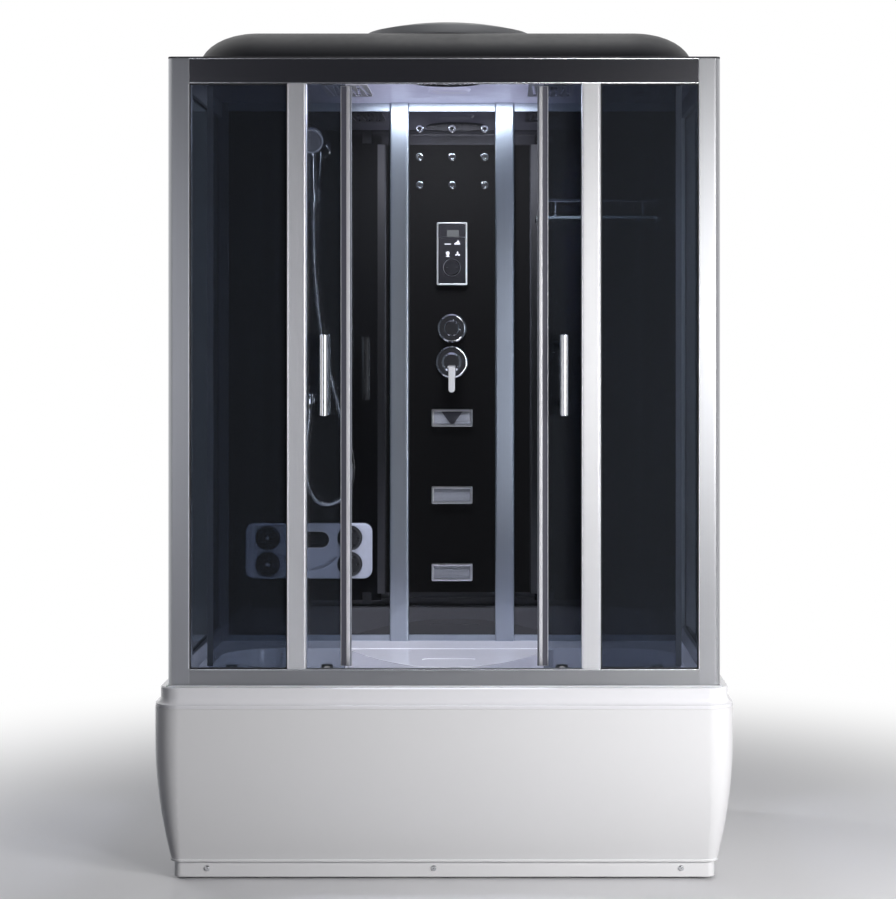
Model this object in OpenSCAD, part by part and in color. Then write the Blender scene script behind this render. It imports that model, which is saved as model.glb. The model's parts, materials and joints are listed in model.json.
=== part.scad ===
/* [Tub] */
// Overall width of the cabin, across the skirt
cabin_w = 1500; // [1400:10:1700]
// Overall depth of the cabin, from the skirt to the back edge of the tub
cabin_d = 900; // [880:10:1000]
// Height of the tub's flat rim above the floor
rim_h = 502; // [480:1:540]
// Height of the upright lip round the tub's rim
lip_h = 52; // [44:1:70]
// Distance that the lip stands back from the skirt's face
lip_in = 14; // [8:1:20]
// Plan radius of the tub's front corners at the skirt's face
corner_r = 70; // [64:1:90]
// Thickness of the reinforced acrylic shell
shell_t = 6; // [4:0.5:8]
// Height of the basin's floor above the room's floor
basin_floor = 136; // [134:1:160]
// Width of the flat rim at the front of the basin
rim_front = 100; // [90:1:120]
// Width of the flat rim at each end of the basin
rim_end = 100; // [90:1:120]
// Width of the flat rim behind the basin
rim_back = 200; // [190:1:220]
// Plan radius of the basin's corners at the rim
basin_r = 150; // [120:5:180]
// Distance that the basin's walls lean in from rim to floor
basin_lean = 70; // [50:1:90]
// Distance from the skirt's face to the front of the seat
seat_front = 358; // [330:1:400]
// Radius of the seat's rounded nose in plan
seat_nose_r = 132; // [110:1:160]
// Radius of the waste hole in the basin's floor
waste_r = 26; // [24:0.5:28]
// Distance of the waste from the basin's end
waste_in = 230; // [200:5:270]
// Height of the waste trap below the waste fitting
trap_h = 78; // [70:1:84]
// Outer diameter of the waste trap
trap_d = 76; // [70:1:84]
// Length of the shallow dish in the seat
dish_w = 152; // [120:1:180]
// Width of the shallow dish in the seat
dish_d = 54; // [40:1:70]

/* [Skirt] */
// Wall of the moulded skirt
skirt_t = 4; // [3:0.5:5]
// Radius of the skirt's inward curve
skirt_curve_r = 1250; // [1100:10:1500]
// Height at which the skirt starts to curve inwards
skirt_curve_h = 370; // [340:1:400]
// Height of the recessed kick strip
kick_h = 45; // [40:1:55]
// Step from the skirt to the kick strip
kick_in = 8; // [5:1:12]
// Gap between the kick strip and the floor
floor_gap = 8; // [6:1:14]
// Width of the flange under the kick strip
kick_flange = 14; // [10:1:14]
// Distance of the outer skirt screws from the skirt's ends
screw_in = 137; // [110:1:190]
// Distance of the middle skirt screw from the middle
screw_mid = 27; // [10:1:60]

/* [Frame] */
// Distance from the skirt's face to the frame's face
frame_in = 36; // [32:1:44]
// Height of the frame's top above the floor
frame_top = 2125; // [2050:5:2200]
// Width of a corner post
post_w = 56; // [48:1:64]
// Depth of a front corner post, and of the front rails
post_d = 56; // [56:1:64]
// Wall of the aluminium profiles
wall_t = 3; // [2:0.25:3.5]
// Height of the front top rail
top_rail_h = 65; // [60:1:80]
// Height of the front bottom rail
low_rail_h = 45; // [40:1:55]
// Width of a side rail
side_rail_w = 30; // [26:1:36]
// Glass thickness
pane_t = 6; // [5:1:8]
// Width of the stile on each fixed pane
stile_w = 49; // [40:1:60]
// Width that a door has over its fixed pane and stile
door_extra = 54; // [40:1:70]

/* [Doors] */
// Overlap of a closed door behind its fixed stile
door_lap = 12; // [8:1:20]
// Gap between an open door and its corner post
door_stop = 44; // [40:1:80]
// Width of the door's leading stile
door_stile_w = 24; // [20:1:30]
// Thickness of the magnetic seal on the leading edge
seal_t = 4; // [3:0.5:6]
// Diameter of a door wheel
wheel_d = 24; // [20:1:25]
// Width of a door wheel
wheel_w = 10; // [8:1:11]
// Length of the door handle
handle_l = 210; // [160:5:300]
// Diameter of the handle's bar
handle_d = 21; // [16:1:24]
// Height of the handle's middle above the floor
handle_z = 1306; // [1200:1:1400]
// Distance from the leading edge to the handle's axis
handle_x = 65; // [55:1:66]
// Distance from the glass to the handle's axis
handle_out = 40; // [30:1:45]

/* [Back wall] */
// Service space behind the back panels
service_d = 50; // [46:1:60]
// Thickness of a back panel
panel_t = 5; // [4:0.5:6]
// Width of one of the two columns beside the controls
column_w = 57; // [50:1:64]
// Clear width between the two columns
column_gap = 257; // [240:1:280]
// Depth of a column
column_d = 38; // [34:1:44]
// Height of the ceiling's underside
ceiling_z = 2106; // [2030:5:2180]

/* [Controls] */
// Width of the control panel
panel_w = 91; // [80:1:110]
// Height of the control panel
panel_h = 187; // [170:1:210]
// Height of the control panel's middle
panel_z = 1656; // [1600:1:1700]
// Diameter of the round key
key_d = 44; // [36:1:50]
// Travel of the round key
key_travel = 1.5; // [1:0.1:2]
// Height of the diverter's middle
diverter_z = 1434; // [1420:1:1460]
// Diameter of the diverter's plate
diverter_d = 86; // [70:1:94]
// Diameter of the diverter's knob
diverter_knob_d = 54; // [44:1:60]
// Height of the mixer's middle
mixer_z = 1333; // [1310:1:1340]
// Diameter of the mixer's plate
mixer_d = 96; // [84:1:100]
// Diameter of the mixer's cap
mixer_cap_d = 58; // [50:1:64]
// Length of the mixer's lever below the cap's axis
lever_l = 86; // [70:1:110]
// Diameter of a small body jet
jet_d = 24; // [20:1:30]
// Spacing of the body jets across
jet_dx = 97; // [80:1:105]
// Spacing of the body jets in height
jet_dz = 84; // [70:1:95]
// Height of the top row of body jets
jet_z = 2029; // [1980:1:2040]
// Width of a back jet's frame
back_jet_w = 121; // [100:1:140]
// Height of a back jet's frame
back_jet_h = 51; // [40:1:60]
// Height of the lowest back jet
back_jet_z = 707; // [690:1:720]
// Spacing of the back jets in height
back_jet_dz = 230; // [200:1:240]

/* [Fittings] */
// Distance of the hand shower from the middle
shower_x = 410; // [400:1:420]
// Height of the hand shower's holder
holder_z = 1830; // [1800:1:1860]
// Forward lean of the hand shower in degrees
shower_lean = 14; // [8:1:20]
// Diameter of the hand shower's head
head_d = 78; // [70:1:90]
// Diameter of the shower hose over its ribs
hose_d = 14; // [12:0.5:16]
// Height of the wall elbow
elbow_z = 1235; // [1225:1:1245]
// Width of the massage board
board_w = 377; // [340:1:400]
// Height of the massage board
board_h = 164; // [150:1:180]
// Distance of the massage board's middle from the corner post
board_in = 232; // [218:1:238]
// Height of the massage board's middle
board_z = 771; // [740:1:800]
// Diameter of a massage disc
disc_d = 72; // [60:1:74]
// Distance of the glass shelf's middle from the corner post
shelf_in = 223; // [210:1:230]
// Length of the glass shelf
shelf_l = 372; // [320:1:390]
// Depth of the glass shelf
shelf_d = 110; // [90:1:130]
// Height of the glass shelf's top
shelf_z = 1762; // [1700:1:1800]
// Height of the rail above the shelf
shelf_rail_h = 46; // [30:1:60]
// Distance of the low grab rail's outer end from the corner post
grab_in = 88; // [70:1:120]
// Length of the low grab rail
grab_l = 270; // [220:1:300]
// Height of the low grab rail
grab_z = 692; // [680:1:720]

/* [Roof] */
// Height of the domed roof above the frame
dome_h = 92; // [80:1:110]
// Distance that the dome stands back from the frame's face
roof_in = 52; // [30:1:60]
// Distance that the dome's edge curves in at each end
dome_in = 150; // [130:1:160]
// Wall of the moulded roof
roof_t = 4; // [3:0.5:5]
// Diameter of the raised crown on the roof
crown_d = 458; // [400:1:466]
// Height of the crown's flat-sided base
crown_base = 27; // [20:1:45]
// Height of the crown's domed top
crown_h = 30; // [20:1:34]
// Diameter of the overhead rain shower
rain_d = 200; // [160:1:220]
// Distance of the ceiling grilles from the middle
grille_x = 287; // [270:1:300]
// Width of a ceiling grille
grille_w = 128; // [110:1:140]
// Depth of a ceiling grille
grille_d = 262; // [220:1:280]

/* [Hidden] */

$fn = 64;
// Running clearance between pieces that move on each other
run_gap = 0.3;
// Overlap that carries a cut cleanly past a face
cut = 1;
// Set-back that keeps two curved faces apart
seat_gap = 0.3;
// Gap of the seam between the tub's lip and the skirt
seam = 0.5;

front_y = -cabin_d / 2 + frame_in;
side_x = cabin_w / 2 - frame_in;
inner_x = side_x - post_w;
stile_x = (inner_x + door_extra) / 2;
door_w = stile_x + door_lap;
door_open = inner_x - door_w - door_stop;
back_edge = cabin_d / 2;
wall_y = back_edge - service_d;
rail_back = front_y + post_d;
post_back_d = column_d + 10;
post_back_y = wall_y - 12;

// Lines of the front frame, measured back from its face
pane_line = 9;
web_line = pane_line + pane_t + 3;
ledge_end = web_line + wall_t + 19;
door_line = ledge_end + 3.5;
ledge_drop = wall_t + wheel_d + 2;
slot_deep = 12;
door_z0 = rim_h + 24;
door_z1 = frame_top - ledge_drop - 8;
carrier_in = 60;
bolt_in = 14;

basin_x = cabin_w / 2 - rim_end;
basin_y0 = -cabin_d / 2 + rim_front;
basin_y1 = back_edge - rim_back;
waste_x = basin_x - waste_in;
waste_y = -60;
dish_y = -cabin_d / 2 + seat_front + 140;
outlet_r = 20;
outlet_l = 46;
tail_in = 94;

tube = 30;
tube_z = basin_floor - shell_t - tube;
foot_x = cabin_w / 2 - 75;
foot_y = cabin_d / 2 - 120;
foot_d = 50;
stud_d = 12;

key_z = panel_z - 41;
stem_d = 12;
mixer_stem_d = 18;
inlet_r = 10.4;
inlet_nut_d = 26;
inlet_x = 22;
inlet_z = rim_h + 60;
screw_x = cabin_w / 2 - screw_in;
board_x = inner_x - board_in;
shelf_x = inner_x - shelf_in;
shelf_round = 20;
shelf_post_in = 40;
shelf_arm = 64;
board_t = 18;
grip_r = 106;
disc_x = board_w / 2 - 66.5;
disc_z = disc_d / 2 + 3;
jet_rows = 3;
roof_x = side_x - roof_in;
roof_y0 = front_y + roof_in;
roof_y1 = post_back_y + post_back_d - roof_in;
roof_mid = (roof_y0 + roof_y1) / 2;
roof_r = dome_in + 16;
fan_y = 70;
fan_d = 96;
rain_y = rail_back + 188;
rain_drop = 12;

function curve_in(z) = skirt_curve_r
    - sqrt(skirt_curve_r * skirt_curve_r - pow(skirt_curve_h - z, 2));
kick_top = floor_gap + kick_h;
kick_face = curve_in(kick_top) + kick_in;

// A profile swept round a corner: x is outwards from the face, y is height
module corner_sweep(x, y, turn, r)
    translate([x, y, 0]) rotate([0, 0, turn])
        rotate_extrude(angle = 90, $fn = 96) translate([r, 0]) children();

// A profile swept along one straight side, starting at x, y
module side_sweep(x, y, turn, l)
    translate([x, y, 0]) rotate([0, 0, turn]) rotate([90, 0, 0])
        linear_extrude(l) children();

// Square-cornered at the back and rounded at the front, seen from above
module plan_outline(inset) {
    r = corner_r - inset;
    hx = cabin_w / 2 - inset;
    y0 = -cabin_d / 2 + inset;
    translate([-hx, y0 + r]) square([2 * hx, back_edge - y0 - r]);
    translate([-hx + r, y0]) square([2 * (hx - r), r + cut]);
    for (s = [-1, 1]) translate([s * (hx - r), y0 + r]) circle(r, $fn = 96);
}

module rounded_plate(w, h, r) {
    translate([-w / 2 + r, -h / 2]) square([w - 2 * r, h]);
    translate([-w / 2, -h / 2 + r]) square([w, h - 2 * r]);
    for (sx = [-1, 1], sy = [-1, 1])
        translate([sx * (w / 2 - r), sy * (h / 2 - r)]) circle(r);
}

module basin_slice(z, inset, r)
    translate([0, (basin_y0 + basin_y1) / 2, z]) linear_extrude(0.01)
        rounded_plate(2 * (basin_x - inset), basin_y1 - basin_y0 - 2 * inset, r, $fn = 48);

module basin_body(grow, z0, z1)
    hull() {
        basin_slice(z1, -grow, basin_r + grow);
        basin_slice(z0, basin_lean - grow, basin_r - basin_lean * 0.6 + grow);
    }

// The seat's plan: a rounded nose that flares out to the rear rim
module seat_slice(z, grow) {
    y0 = -cabin_d / 2 + seat_front - grow;
    span = sqrt(2 * seat_nose_r * (basin_y1 + 20 - y0));
    steps = 12;
    translate([0, 0, z]) linear_extrude(0.01)
        polygon([for (i = [-steps : steps])
            let (x = span * i / steps) [x, y0 + x * x / (2 * seat_nose_r)]]);
}

module seat_body(grow, z0, z1)
    hull() {
        seat_slice(z1, grow);
        seat_slice(z0, grow + 26);
    }

// Section of the tub's lip, hung on the skirt's face line
module lip_section() {
    flare_z = rim_h - lip_h + 9;
    neck_z = rim_h - lip_h + 26;
    polygon(concat(
        [[-lip_in - shell_t, rim_h], [-lip_in - 3, rim_h], [-lip_in, rim_h - 3], [-lip_in, neck_z]],
        [for (i = [1 : 5]) let (a = i * 18)
            [-lip_in + (lip_in - 1) * (1 - cos(a)), neck_z - (neck_z - flare_z) * sin(a)]],
        [[-1, rim_h - lip_h + seam], [-1 - shell_t, rim_h - lip_h + seam], [-1 - shell_t, flare_z - 4],
         [-lip_in - shell_t, neck_z - 6]]));
}

module tub() color("white") {
    difference() {
        union() {
            translate([0, 0, rim_h - shell_t]) linear_extrude(shell_t) plan_outline(lip_in + 3);
            for (s = [-1, 1])
                corner_sweep(s * (cabin_w / 2 - corner_r), -cabin_d / 2 + corner_r,
                    s > 0 ? 270 : 180, corner_r) lip_section();
            side_sweep(cabin_w / 2 - corner_r, -cabin_d / 2, -90, cabin_w - 2 * corner_r)
                lip_section();
            side_sweep(cabin_w / 2, back_edge, 0, cabin_d - corner_r) lip_section();
            side_sweep(-cabin_w / 2, -cabin_d / 2 + corner_r, 180, cabin_d - corner_r)
                lip_section();
            translate([-cabin_w / 2 + lip_in + 3, back_edge - shell_t, rim_h - lip_h + seam])
                cube([cabin_w - 2 * lip_in - 6, shell_t, lip_h - seam]);
            basin_body(shell_t, basin_floor - shell_t, rim_h - cut);
        }
        difference() {
            basin_body(0, basin_floor, rim_h + cut);
            seat_body(0, basin_floor - 2 * shell_t, rim_h - 2);
        }
        seat_body(-shell_t, basin_floor - 2 * shell_t - cut, rim_h - 2 - shell_t);
        translate([0, dish_y, rim_h - 4]) linear_extrude(shell_t) rounded_plate(dish_w, dish_d, 24);
        translate([waste_x, waste_y, basin_floor - 2 * shell_t])
            cylinder(r = waste_r, h = 4 * shell_t);
        translate([waste_x, back_edge - rim_back, rim_h - 90]) rotate([-90, 0, 0])
            translate([0, 0, -60]) cylinder(d = 44, h = 120);
    }
}

module tub_frame() color("silver")
    difference() {
        union() {
            for (s = [-1, 1])
                translate([-foot_x - tube / 2, s * foot_y - tube / 2, tube_z])
                    cube([2 * foot_x + tube, tube, tube]);
            for (x = [-foot_x, -foot_x / 3, foot_x / 3, foot_x])
                translate([x - tube / 2, -foot_y + tube / 2 - cut, tube_z])
                    cube([tube, 2 * foot_y - tube + 2 * cut, tube]);
            for (sx = [-1, 1], sy = [-1, 1])
                translate([sx * foot_x - tube / 2, sy * foot_y - tube / 2, tube_z + tube - cut])
                    cube([tube, tube, rim_h - shell_t - tube_z - tube + cut]);
        }
        for (x = [-foot_x, 0, foot_x], s = [-1, 1])
            translate([x, s * foot_y, tube_z - cut])
                cylinder(d = stud_d + 2 * run_gap, h = tube - wall_t + cut);
    }

module levelling_feet() color("dimgray")
    for (x = [-foot_x, 0, foot_x], s = [-1, 1]) translate([x, s * foot_y, 0]) {
        cylinder(d1 = foot_d, d2 = foot_d - 4, h = 7, $fn = 48);
        cylinder(d = stud_d, h = tube_z + tube / 2);
        translate([0, 0, tube_z - 10 - seat_gap]) cylinder(d = 22, h = 10, $fn = 6);
    }

// Section of the skirt: upright, then curved in, with the stepped kick strip
module skirt_section() {
    top_z = rim_h - lip_h;
    translate([-skirt_t, skirt_curve_h]) square([skirt_t, top_z - skirt_curve_h]);
    translate([-28, top_z - skirt_t]) square([28, skirt_t]);
    intersection() {
        translate([-skirt_curve_r, skirt_curve_h]) difference() {
            circle(skirt_curve_r, $fn = 720);
            circle(skirt_curve_r - skirt_t, $fn = 720);
        }
        translate([-kick_face - 10, kick_top]) square([kick_face + 12, skirt_curve_h - kick_top]);
    }
    translate([-kick_face - skirt_t, kick_top - skirt_t])
        square([kick_in + skirt_t + 2, skirt_t + 1]);
    translate([-kick_face - skirt_t, floor_gap]) square([skirt_t, kick_h]);
    translate([-kick_face - kick_flange, floor_gap]) square([kick_flange, skirt_t]);
}

module front_skirt() color("whitesmoke")
    difference() {
        union() {
            for (s = [-1, 1])
                corner_sweep(s * (cabin_w / 2 - corner_r), -cabin_d / 2 + corner_r,
                    s > 0 ? 270 : 180, corner_r) skirt_section();
            side_sweep(cabin_w / 2 - corner_r, -cabin_d / 2, -90, cabin_w - 2 * corner_r)
                skirt_section();
        }
        for (x = [-screw_x, -screw_mid, screw_x])
            translate([x, -cabin_d / 2 + kick_face - cut, floor_gap + kick_h / 2])
                rotate([-90, 0, 0]) cylinder(d = 6.5, h = skirt_t + 2 * cut);
    }

module side_skirts() color("whitesmoke") {
    side_sweep(cabin_w / 2, back_edge, 0, cabin_d - corner_r) skirt_section();
    side_sweep(-cabin_w / 2, -cabin_d / 2 + corner_r, 180, cabin_d - corner_r) skirt_section();
}

module skirt_screws() color("silver")
    for (x = [-screw_x, -screw_mid, screw_x])
        translate([x, -cabin_d / 2 + kick_face, floor_gap + kick_h / 2]) rotate([90, 0, 0]) {
            cylinder(d = 15, h = 2);
            translate([0, 0, 2]) cylinder(d1 = 15, d2 = 9, h = 2.5);
            translate([0, 0, -skirt_t - 8]) cylinder(d = 5.5, h = skirt_t + 9);
        }

module waste_fittings() color("silver") {
    translate([waste_x, waste_y, basin_floor]) difference() {
        union() {
            cylinder(d1 = 2 * waste_r + 18, d2 = 2 * waste_r + 12, h = 3);
            translate([0, 0, -shell_t - 14]) cylinder(r = waste_r - seat_gap, h = shell_t + 15);
        }
        translate([0, 0, -shell_t - 15]) cylinder(r = waste_r - 5, h = shell_t + 20);
    }
    overflow_cover();
}

// Chrome cover over the overflow, on the basin's rear wall
module overflow_cover() {
    lean = atan(basin_lean / (rim_h - basin_floor));
    drop = 90;
    translate([waste_x, basin_y1 - drop * tan(lean) - 0.6, rim_h - drop])
        rotate([90 - lean, 0, 0]) {
            cylinder(d = 64, h = 7);
            translate([0, 0, -8]) cylinder(d = 40, h = 9);
        }
}

module waste_plug() color("silver")
    translate([waste_x, waste_y, basin_floor]) {
        translate([0, 0, 3 + run_gap]) cylinder(d1 = 2 * waste_r + 2, d2 = 2 * waste_r - 6, h = 4);
        translate([0, 0, -22]) cylinder(d = 8, h = 26);
    }

module waste_trap() color("white") {
    z0 = basin_floor - shell_t - 14 - seat_gap;
    tail_l = back_edge - waste_y - tail_in;
    translate([waste_x, waste_y, z0 - trap_h]) difference() {
        union() {
            cylinder(d = trap_d, h = trap_h - 22);
            translate([0, 0, trap_h - 23]) cylinder(d = trap_d - 6, h = 36);
        }
        translate([0, 0, 4]) cylinder(d = trap_d - 16, h = trap_h - 4);
        translate([0, 0, trap_h - cut]) cylinder(r = waste_r - seat_gap + 0.2, h = 20);
        translate([0, 30, trap_h - 48]) rotate([-90, 0, 0]) cylinder(d = 34, h = 40);
    }
    translate([waste_x, waste_y + 34, z0 - 48]) rotate([-90, 0, 0]) difference() {
        union() {
            cylinder(d = 42, h = tail_l);
            translate([0, 0, tail_l - cut]) cylinder(d = 52, h = 11);
            translate([0, 0, tail_l + 9]) cylinder(r = outlet_r, h = outlet_l);
        }
        translate([0, 0, -cut]) cylinder(d = 34, h = cabin_d);
    }
}

// Section of a front post in plan, from its outer front corner
module post_section(d) {
    r = 16;
    difference() {
        union() {
            translate([r, 0]) square([post_w - r, d]);
            translate([0, r]) square([post_w, d - r]);
            translate([r, r]) circle(r);
        }
        translate([wall_t + 3, wall_t + 19]) square([post_w - 2 * wall_t - slot_deep - 6,
            d - 2 * wall_t - slot_deep - 22]);
        translate([post_w - slot_deep, pane_line - 0.5]) square([slot_deep + cut, pane_t + 1]);
        translate([12, d - slot_deep]) square([pane_t + 1, slot_deep + cut]);
    }
}

module front_posts() color("lightgray")
    for (s = [0, 1]) mirror([s, 0, 0])
        translate([-side_x, front_y, rim_h]) linear_extrude(frame_top - rim_h)
            post_section(post_d);

// Section of a back post: a slot for the side pane and one for the back panel
module back_section() difference() {
    square([post_w - 8, post_back_d]);
    translate([12, -cut]) square([pane_t + 1, slot_deep + cut]);
    translate([post_w - 8 - slot_deep, wall_y - post_back_y - 0.2])
        square([slot_deep + cut, panel_t + 0.4]);
    translate([wall_t, slot_deep + wall_t]) square([post_w - 8 - 2 * wall_t - slot_deep,
        post_back_d - slot_deep - 2 * wall_t]);
}

module back_posts() color("lightgray")
    for (s = [0, 1]) mirror([s, 0, 0])
        translate([-side_x, post_back_y, rim_h]) linear_extrude(frame_top - rim_h)
            back_section();

// Section shared by both front rails: x runs back from the face, y away from the closed side
module track_section(h) {
    square([wall_t, h]);
    square([post_d, wall_t]);
    translate([web_line, 0]) square([wall_t, h]);
    translate([web_line, ledge_drop]) square([ledge_end - web_line, wall_t]);
    translate([post_d - wall_t, 0]) square([wall_t, wall_t + 3]);
}

module top_rail() color("lightgray")
    translate([-inner_x, front_y, frame_top]) rotate([90, 0, 90]) mirror([0, 1, 0])
        linear_extrude(2 * inner_x) track_section(top_rail_h);

module low_rail() color("lightgray")
    translate([-inner_x, front_y, rim_h]) rotate([90, 0, 90])
        linear_extrude(2 * inner_x) track_section(low_rail_h);

// Section of a side rail: a channel that holds the edge of the side pane
module side_rail_section(h) difference() {
    square([side_rail_w, h]);
    translate([12, h - slot_deep]) square([pane_t + 1, slot_deep + cut]);
    translate([wall_t, wall_t]) square([side_rail_w - 2 * wall_t, h - slot_deep - 2 * wall_t]);
}

module side_rails() color("lightgray")
    for (s = [0, 1]) mirror([s, 0, 0]) {
        translate([-side_x, post_back_y, rim_h]) rotate([90, 0, 0])
            linear_extrude(post_back_y - rail_back) side_rail_section(low_rail_h);
        translate([-side_x, post_back_y, frame_top]) rotate([90, 0, 0]) mirror([0, 1, 0])
            linear_extrude(post_back_y - rail_back) side_rail_section(top_rail_h);
    }

// Section of a fixed stile: a rounded face and a slot for the pane's edge
module fixed_stile_section() difference() {
    union() {
        translate([6, 0]) square([stile_w - 12, 12]);
        translate([0, 6]) square([stile_w, web_line + wall_t + 9 - 6]);
        for (x = [6, stile_w - 6]) translate([x, 6]) circle(6);
    }
    translate([-cut, pane_line - 0.5]) square([slot_deep + cut, pane_t + 1]);
    translate([slot_deep + wall_t, wall_t + 2])
        square([stile_w - slot_deep - 2 * wall_t, web_line + 2 * wall_t - 4]);
}

module fixed_stiles() color("lightgray")
    for (s = [0, 1]) mirror([s, 0, 0])
        translate([-stile_x - stile_w, front_y, rim_h + low_rail_h])
            linear_extrude(frame_top - top_rail_h - rim_h - low_rail_h) fixed_stile_section();

module fixed_panes() color([0.6, 0.7, 0.75, 0.35])
    for (s = [0, 1]) mirror([s, 0, 0])
        translate([-inner_x - slot_deep + 1, front_y + pane_line, rim_h + wall_t + 2])
            cube([inner_x - stile_x - stile_w + 2 * slot_deep - 2, pane_t,
                frame_top - rim_h - 2 * wall_t - 4]);

module side_panes() color([0.6, 0.7, 0.75, 0.35])
    for (s = [0, 1]) mirror([s, 0, 0])
        translate([-side_x + 12.5, rail_back - slot_deep + 1, rim_h + low_rail_h - slot_deep + 1])
            cube([pane_t, post_back_y - rail_back + 2 * slot_deep - 2,
                frame_top - top_rail_h - rim_h - low_rail_h + 2 * slot_deep - 2]);

// Everything on a door is drawn for the left door; x = 0 is the leading edge
module door_place(side)
    mirror([side, 0, 0]) translate([-door_open, front_y + door_line, 0]) children();

module door_glass(side) color([0.6, 0.7, 0.75, 0.35])
    door_place(side) difference() {
        translate([-door_w, 0, door_z0])
            cube([door_w - door_stile_w + slot_deep, pane_t, door_z1 - door_z0]);
        for (dz = [-1, 1])
            translate([-handle_x, -cut, handle_z + dz * (handle_l / 2 - 30)])
                rotate([-90, 0, 0]) cylinder(d = 12, h = pane_t + 2 * cut);
        for (x = [-door_w + carrier_in, -carrier_in], z = [door_z0 + bolt_in, door_z1 - bolt_in])
            translate([x, -cut, z]) rotate([-90, 0, 0]) cylinder(d = 8, h = pane_t + 2 * cut);
    }

module door_stile(side) color("lightgray")
    door_place(side) translate([0, 0, rim_h + low_rail_h + 2]) linear_extrude(
        frame_top - top_rail_h - rim_h - low_rail_h - 4) difference() {
            translate([-door_stile_w, -4]) square([door_stile_w, pane_t + 11]);
            translate([-door_stile_w - cut, -0.3]) square([slot_deep + 1.3, pane_t + 0.6]);
            translate([-door_stile_w + slot_deep + wall_t, -1.5])
                square([door_stile_w - slot_deep - 2 * wall_t, pane_t + 5]);
        }

module door_seals(side) color("dimgray")
    door_place(side) {
        translate([0, -1, rim_h + low_rail_h + 2])
            cube([seal_t, pane_t + 4, frame_top - top_rail_h - rim_h - low_rail_h - 4]);
        translate([-door_w - 3, -3, rim_h + low_rail_h + 2]) difference() {
            cube([15, pane_t + 5, frame_top - top_rail_h - rim_h - low_rail_h - 4]);
            translate([3, 2.7, -cut]) cube([13, pane_t + 0.6, frame_top]);
        }
    }

// A bar on each side of the glass, joined by two bolted standoffs
module door_handle(side) color("silver")
    door_place(side) translate([-handle_x, 0, handle_z]) {
        for (y = [-handle_out, pane_t + handle_out]) translate([0, y, 0]) {
            translate([0, 0, -handle_l / 2 + 1.5]) cylinder(d = handle_d, h = handle_l - 3);
            for (s = [0, 1]) mirror([0, 0, s]) translate([0, 0, handle_l / 2 - 1.5])
                cylinder(d1 = handle_d, d2 = handle_d - 3, h = 1.5);
        }
        for (dz = [-1, 1]) translate([0, 0, dz * (handle_l / 2 - 30)]) rotate([-90, 0, 0]) {
            translate([0, 0, -handle_out]) cylinder(d = 9, h = pane_t + 2 * handle_out);
            translate([0, 0, -10]) cylinder(d = 18, h = 10 - seat_gap);
            translate([0, 0, pane_t + seat_gap]) cylinder(d = 18, h = 10 - seat_gap);
        }
    }

function wheel_top_z() = frame_top - ledge_drop + wheel_d / 2 + run_gap / 2;
wheel_y = -door_line + web_line + wall_t + 4;
axle_d = 6;

// Brackets on the inside of the glass: two carry wheel axles, two carry guide shoes
module door_carriers(side) color("dimgray")
    door_place(side) for (x = [-door_w + carrier_in, -carrier_in]) {
        translate([x - 15, pane_t, door_z1 - bolt_in - 12])
            cube([30, 5, wheel_top_z() + 8 - door_z1 + bolt_in + 12]);
        for (z = [door_z0 + bolt_in, door_z1 - bolt_in]) translate([x, 0, z]) rotate([-90, 0, 0]) {
            translate([0, 0, -3]) cylinder(d = 18, h = 3);
            cylinder(d = 6, h = pane_t + 8);
        }
        translate([x, 0, wheel_top_z()]) rotate([-90, 0, 0]) {
            translate([0, 0, wheel_y - 2]) cylinder(d = axle_d, h = pane_t - wheel_y + 6);
            translate([0, 0, wheel_y - 2]) cylinder(d = 10, h = 2 - run_gap);
            translate([0, 0, wheel_y + wheel_w + run_gap]) cylinder(d = 10, h = 2);
        }
        translate([x - 15, pane_t, rim_h + 12]) cube([30, 5, door_z0 + bolt_in - rim_h]);
        translate([x - 12, wheel_y, rim_h + 12])
            cube([24, wheel_w, ledge_drop - 12 - run_gap]);
        translate([x - 6, wheel_y + 2, rim_h + 14]) cube([12, pane_t - wheel_y, 6]);
    }

module door_wheel(side, x) color("white")
    door_place(side) translate([x, wheel_y, wheel_top_z()]) rotate([-90, 0, 0]) difference() {
        cylinder(d = wheel_d, h = wheel_w);
        translate([0, 0, -cut]) cylinder(d = axle_d + 0.1, h = wheel_w + 2 * cut);
    }

module left_door_glass() door_glass(0);
module left_door_stile() door_stile(0);
module left_door_seals() door_seals(0);
module left_door_handle() door_handle(0);
module left_door_carriers() door_carriers(0);
module left_wheel_outer() door_wheel(0, -door_w + carrier_in);
module left_wheel_inner() door_wheel(0, -carrier_in);
module right_door_glass() door_glass(1);
module right_door_stile() door_stile(1);
module right_door_seals() door_seals(1);
module right_door_handle() door_handle(1);
module right_door_carriers() door_carriers(1);
module right_wheel_outer() door_wheel(1, -door_w + carrier_in);
module right_wheel_inner() door_wheel(1, -carrier_in);

// A hole through the back panels, on the axis at x, z
module wall_hole(x, z, d)
    translate([x, wall_y - cut, z]) rotate([-90, 0, 0]) cylinder(d = d, h = panel_t + 2 * cut);

back_rail_low = 14;
back_rail_top = 21;
column_x = column_gap / 2;
panel_z0 = rim_h + back_rail_low;
panel_z1 = ceiling_z - back_rail_top;

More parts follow.
